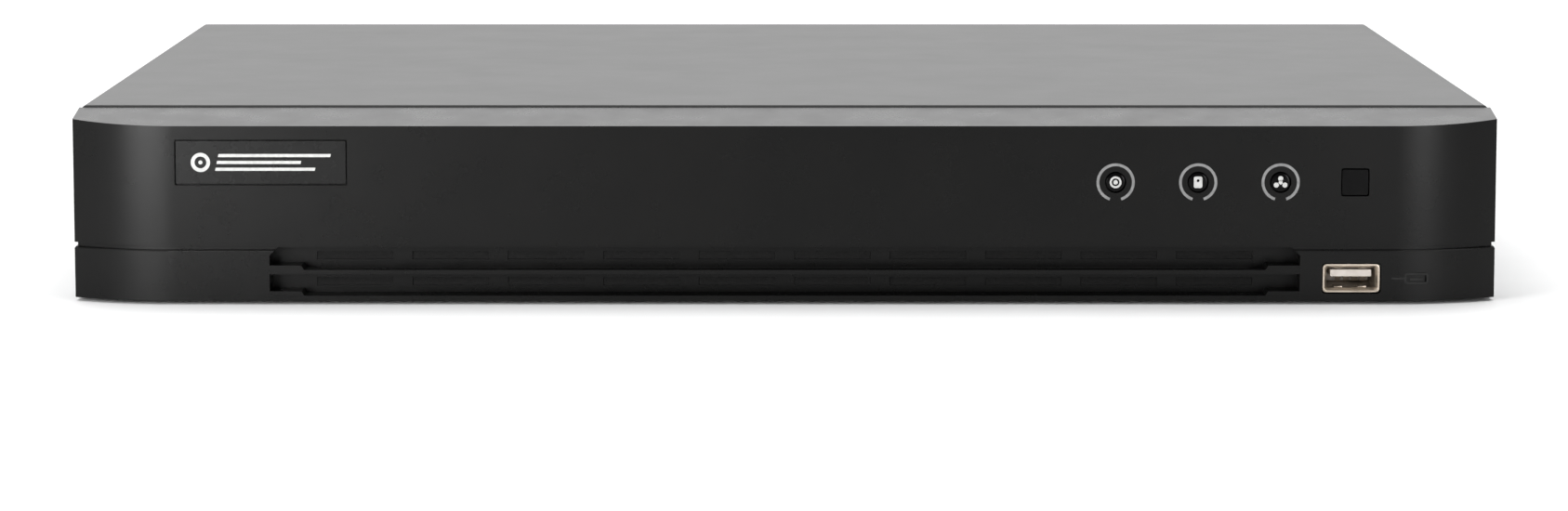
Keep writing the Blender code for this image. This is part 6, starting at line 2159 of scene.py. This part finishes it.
@dataclass
class Studio:
    """The pale floor, the soft lights, the sky and the camera. Its sizes are in metres."""

    camera_at: Place = (-0.0002, -1.4505, 0.179)
    camera_down_deg: float = 7.3
    lens: float = 111.05
    sensor: float = 36.0
    floor_half: float = 14.0
    sky_front: Colour = (0.19, 0.193, 0.196)
    sky_back: Colour = (1.0, 1.0, 1.0)
    sky_strength: float = 1.0
    lights: tuple[SoftLight, ...] = (
        SoftLight("overhead_light", (0.0, 0.3, 2.6), (0.0, 0.1, 0.0), (3.8, 3.4), 76.0),
        SoftLight("left_strip", (-0.375, -0.66, 0.105), (-0.172, -0.15, 0.03), (0.24, 0.20), 2.9),
        SoftLight("left_fill", (-1.15, -1.25, 0.5), (0.0, -0.15, 0.03), (1.2, 0.9), 4.0),
        SoftLight("right_strip", (0.405, -0.70, 0.105), (0.17, -0.145, 0.03), (0.14, 0.20), 1.05),
        SoftLight("rear_light", (-0.2, 2.6, 1.05), (0.0, 0.1, 0.0), (3.0, 0.9), 11.0),
    )

    def floor(self) -> None:
        """Builds the floor."""
        half = self.floor_half
        shape = bmesh.new()
        corners = [shape.verts.new((x * half, y * half, 0.0)) for x, y in ((-1, -1), (1, -1), (1, 1), (-1, 1))]
        shape.faces.new(corners)
        mesh = bpy.data.meshes.new("studio_floor")
        shape.to_mesh(mesh)
        shape.free()
        made = bpy.data.objects.new("studio_floor", mesh)
        bpy.context.scene.collection.objects.link(made)
        sheet = NodeSheet("pale_floor")
        grain = sheet.noise(60.0)
        sheet.link(sheet.ramp(grain, ((0.3, (0.93, 0.93, 0.93)), (0.7, (0.95, 0.95, 0.95)))), "Base Color")
        sheet.set(Roughness=0.9, Specular_IOR_Level=0.1)
        mesh.materials.append(sheet.material)

    def world(self) -> None:
        """Sets the pale sky all round, a little darker in front of the recorder."""
        sky = bpy.data.worlds.new("pale_sky")
        sky.use_nodes = True
        tree = sky.node_tree
        background = tree.nodes["Background"]
        background.inputs["Strength"].default_value = self.sky_strength
        around_it = tree.nodes.new("ShaderNodeTexCoord").outputs["Generated"]
        parts = tree.nodes.new("ShaderNodeSeparateXYZ")
        tree.links.new(around_it, parts.inputs["Vector"])
        depth = tree.nodes.new("ShaderNodeMapRange")
        depth.inputs["From Min"].default_value, depth.inputs["From Max"].default_value = -0.6, 0.7
        tree.links.new(parts.outputs["Y"], depth.inputs["Value"])
        blend = tree.nodes.new("ShaderNodeValToRGB")
        blend.color_ramp.elements[0].color = (*self.sky_front, 1.0)
        blend.color_ramp.elements[1].color = (*self.sky_back, 1.0)
        tree.links.new(depth.outputs["Result"], blend.inputs["Fac"])
        tree.links.new(blend.outputs["Color"], background.inputs["Color"])
        bpy.context.scene.world = sky

    def camera(self) -> None:
        """Places the camera."""
        data = bpy.data.cameras.new("camera")
        data.lens = self.lens
        data.sensor_width = self.sensor
        data.clip_start, data.clip_end = 0.05, 60.0
        data.dof.use_dof = False
        made = bpy.data.objects.new("camera", data)
        made.location = self.camera_at
        made.rotation_euler = (math.radians(90 - self.camera_down_deg), 0.0, 0.0)
        bpy.context.scene.collection.objects.link(made)
        bpy.context.scene.camera = made

    def build(self) -> None:
        """Builds the whole studio."""
        self.camera()
        self.floor()
        self.world()
        for light in self.lights:
            light.build()
        bpy.context.scene.view_settings.view_transform = "Standard"


def main() -> None:
    """Builds the studio and every piece of the recorder, in order."""
    logging.basicConfig(level=logging.INFO, format="%(message)s")
    Studio().build()
    InnerParts().dress()
    FrontBezel().build()
    BadgePlate().build()
    StatusWindow().build()
    StatusLights().build()
    FrontSocket().build()
    TopCover().build()
    for number in range(1, 5):
        PanScrew().build(f"cover_fixing_{number}", f"cover_screw_{number}")
        Foot().build(f"rubber_foot_{number}", f"foot_{number}")
    PanScrew(cross=0.8).build("ground_fixing", "ground_screw")
    RearPanel().build()
    CameraJacks().build()
    VideoOutJack().build()
    AudioJacks().build()
    MonitorPort().build()
    DigitalPort().build()
    WireTerminal().build()
    NetworkStack().build()
    PowerPort().build()


if __name__ == "__main__":
    main()
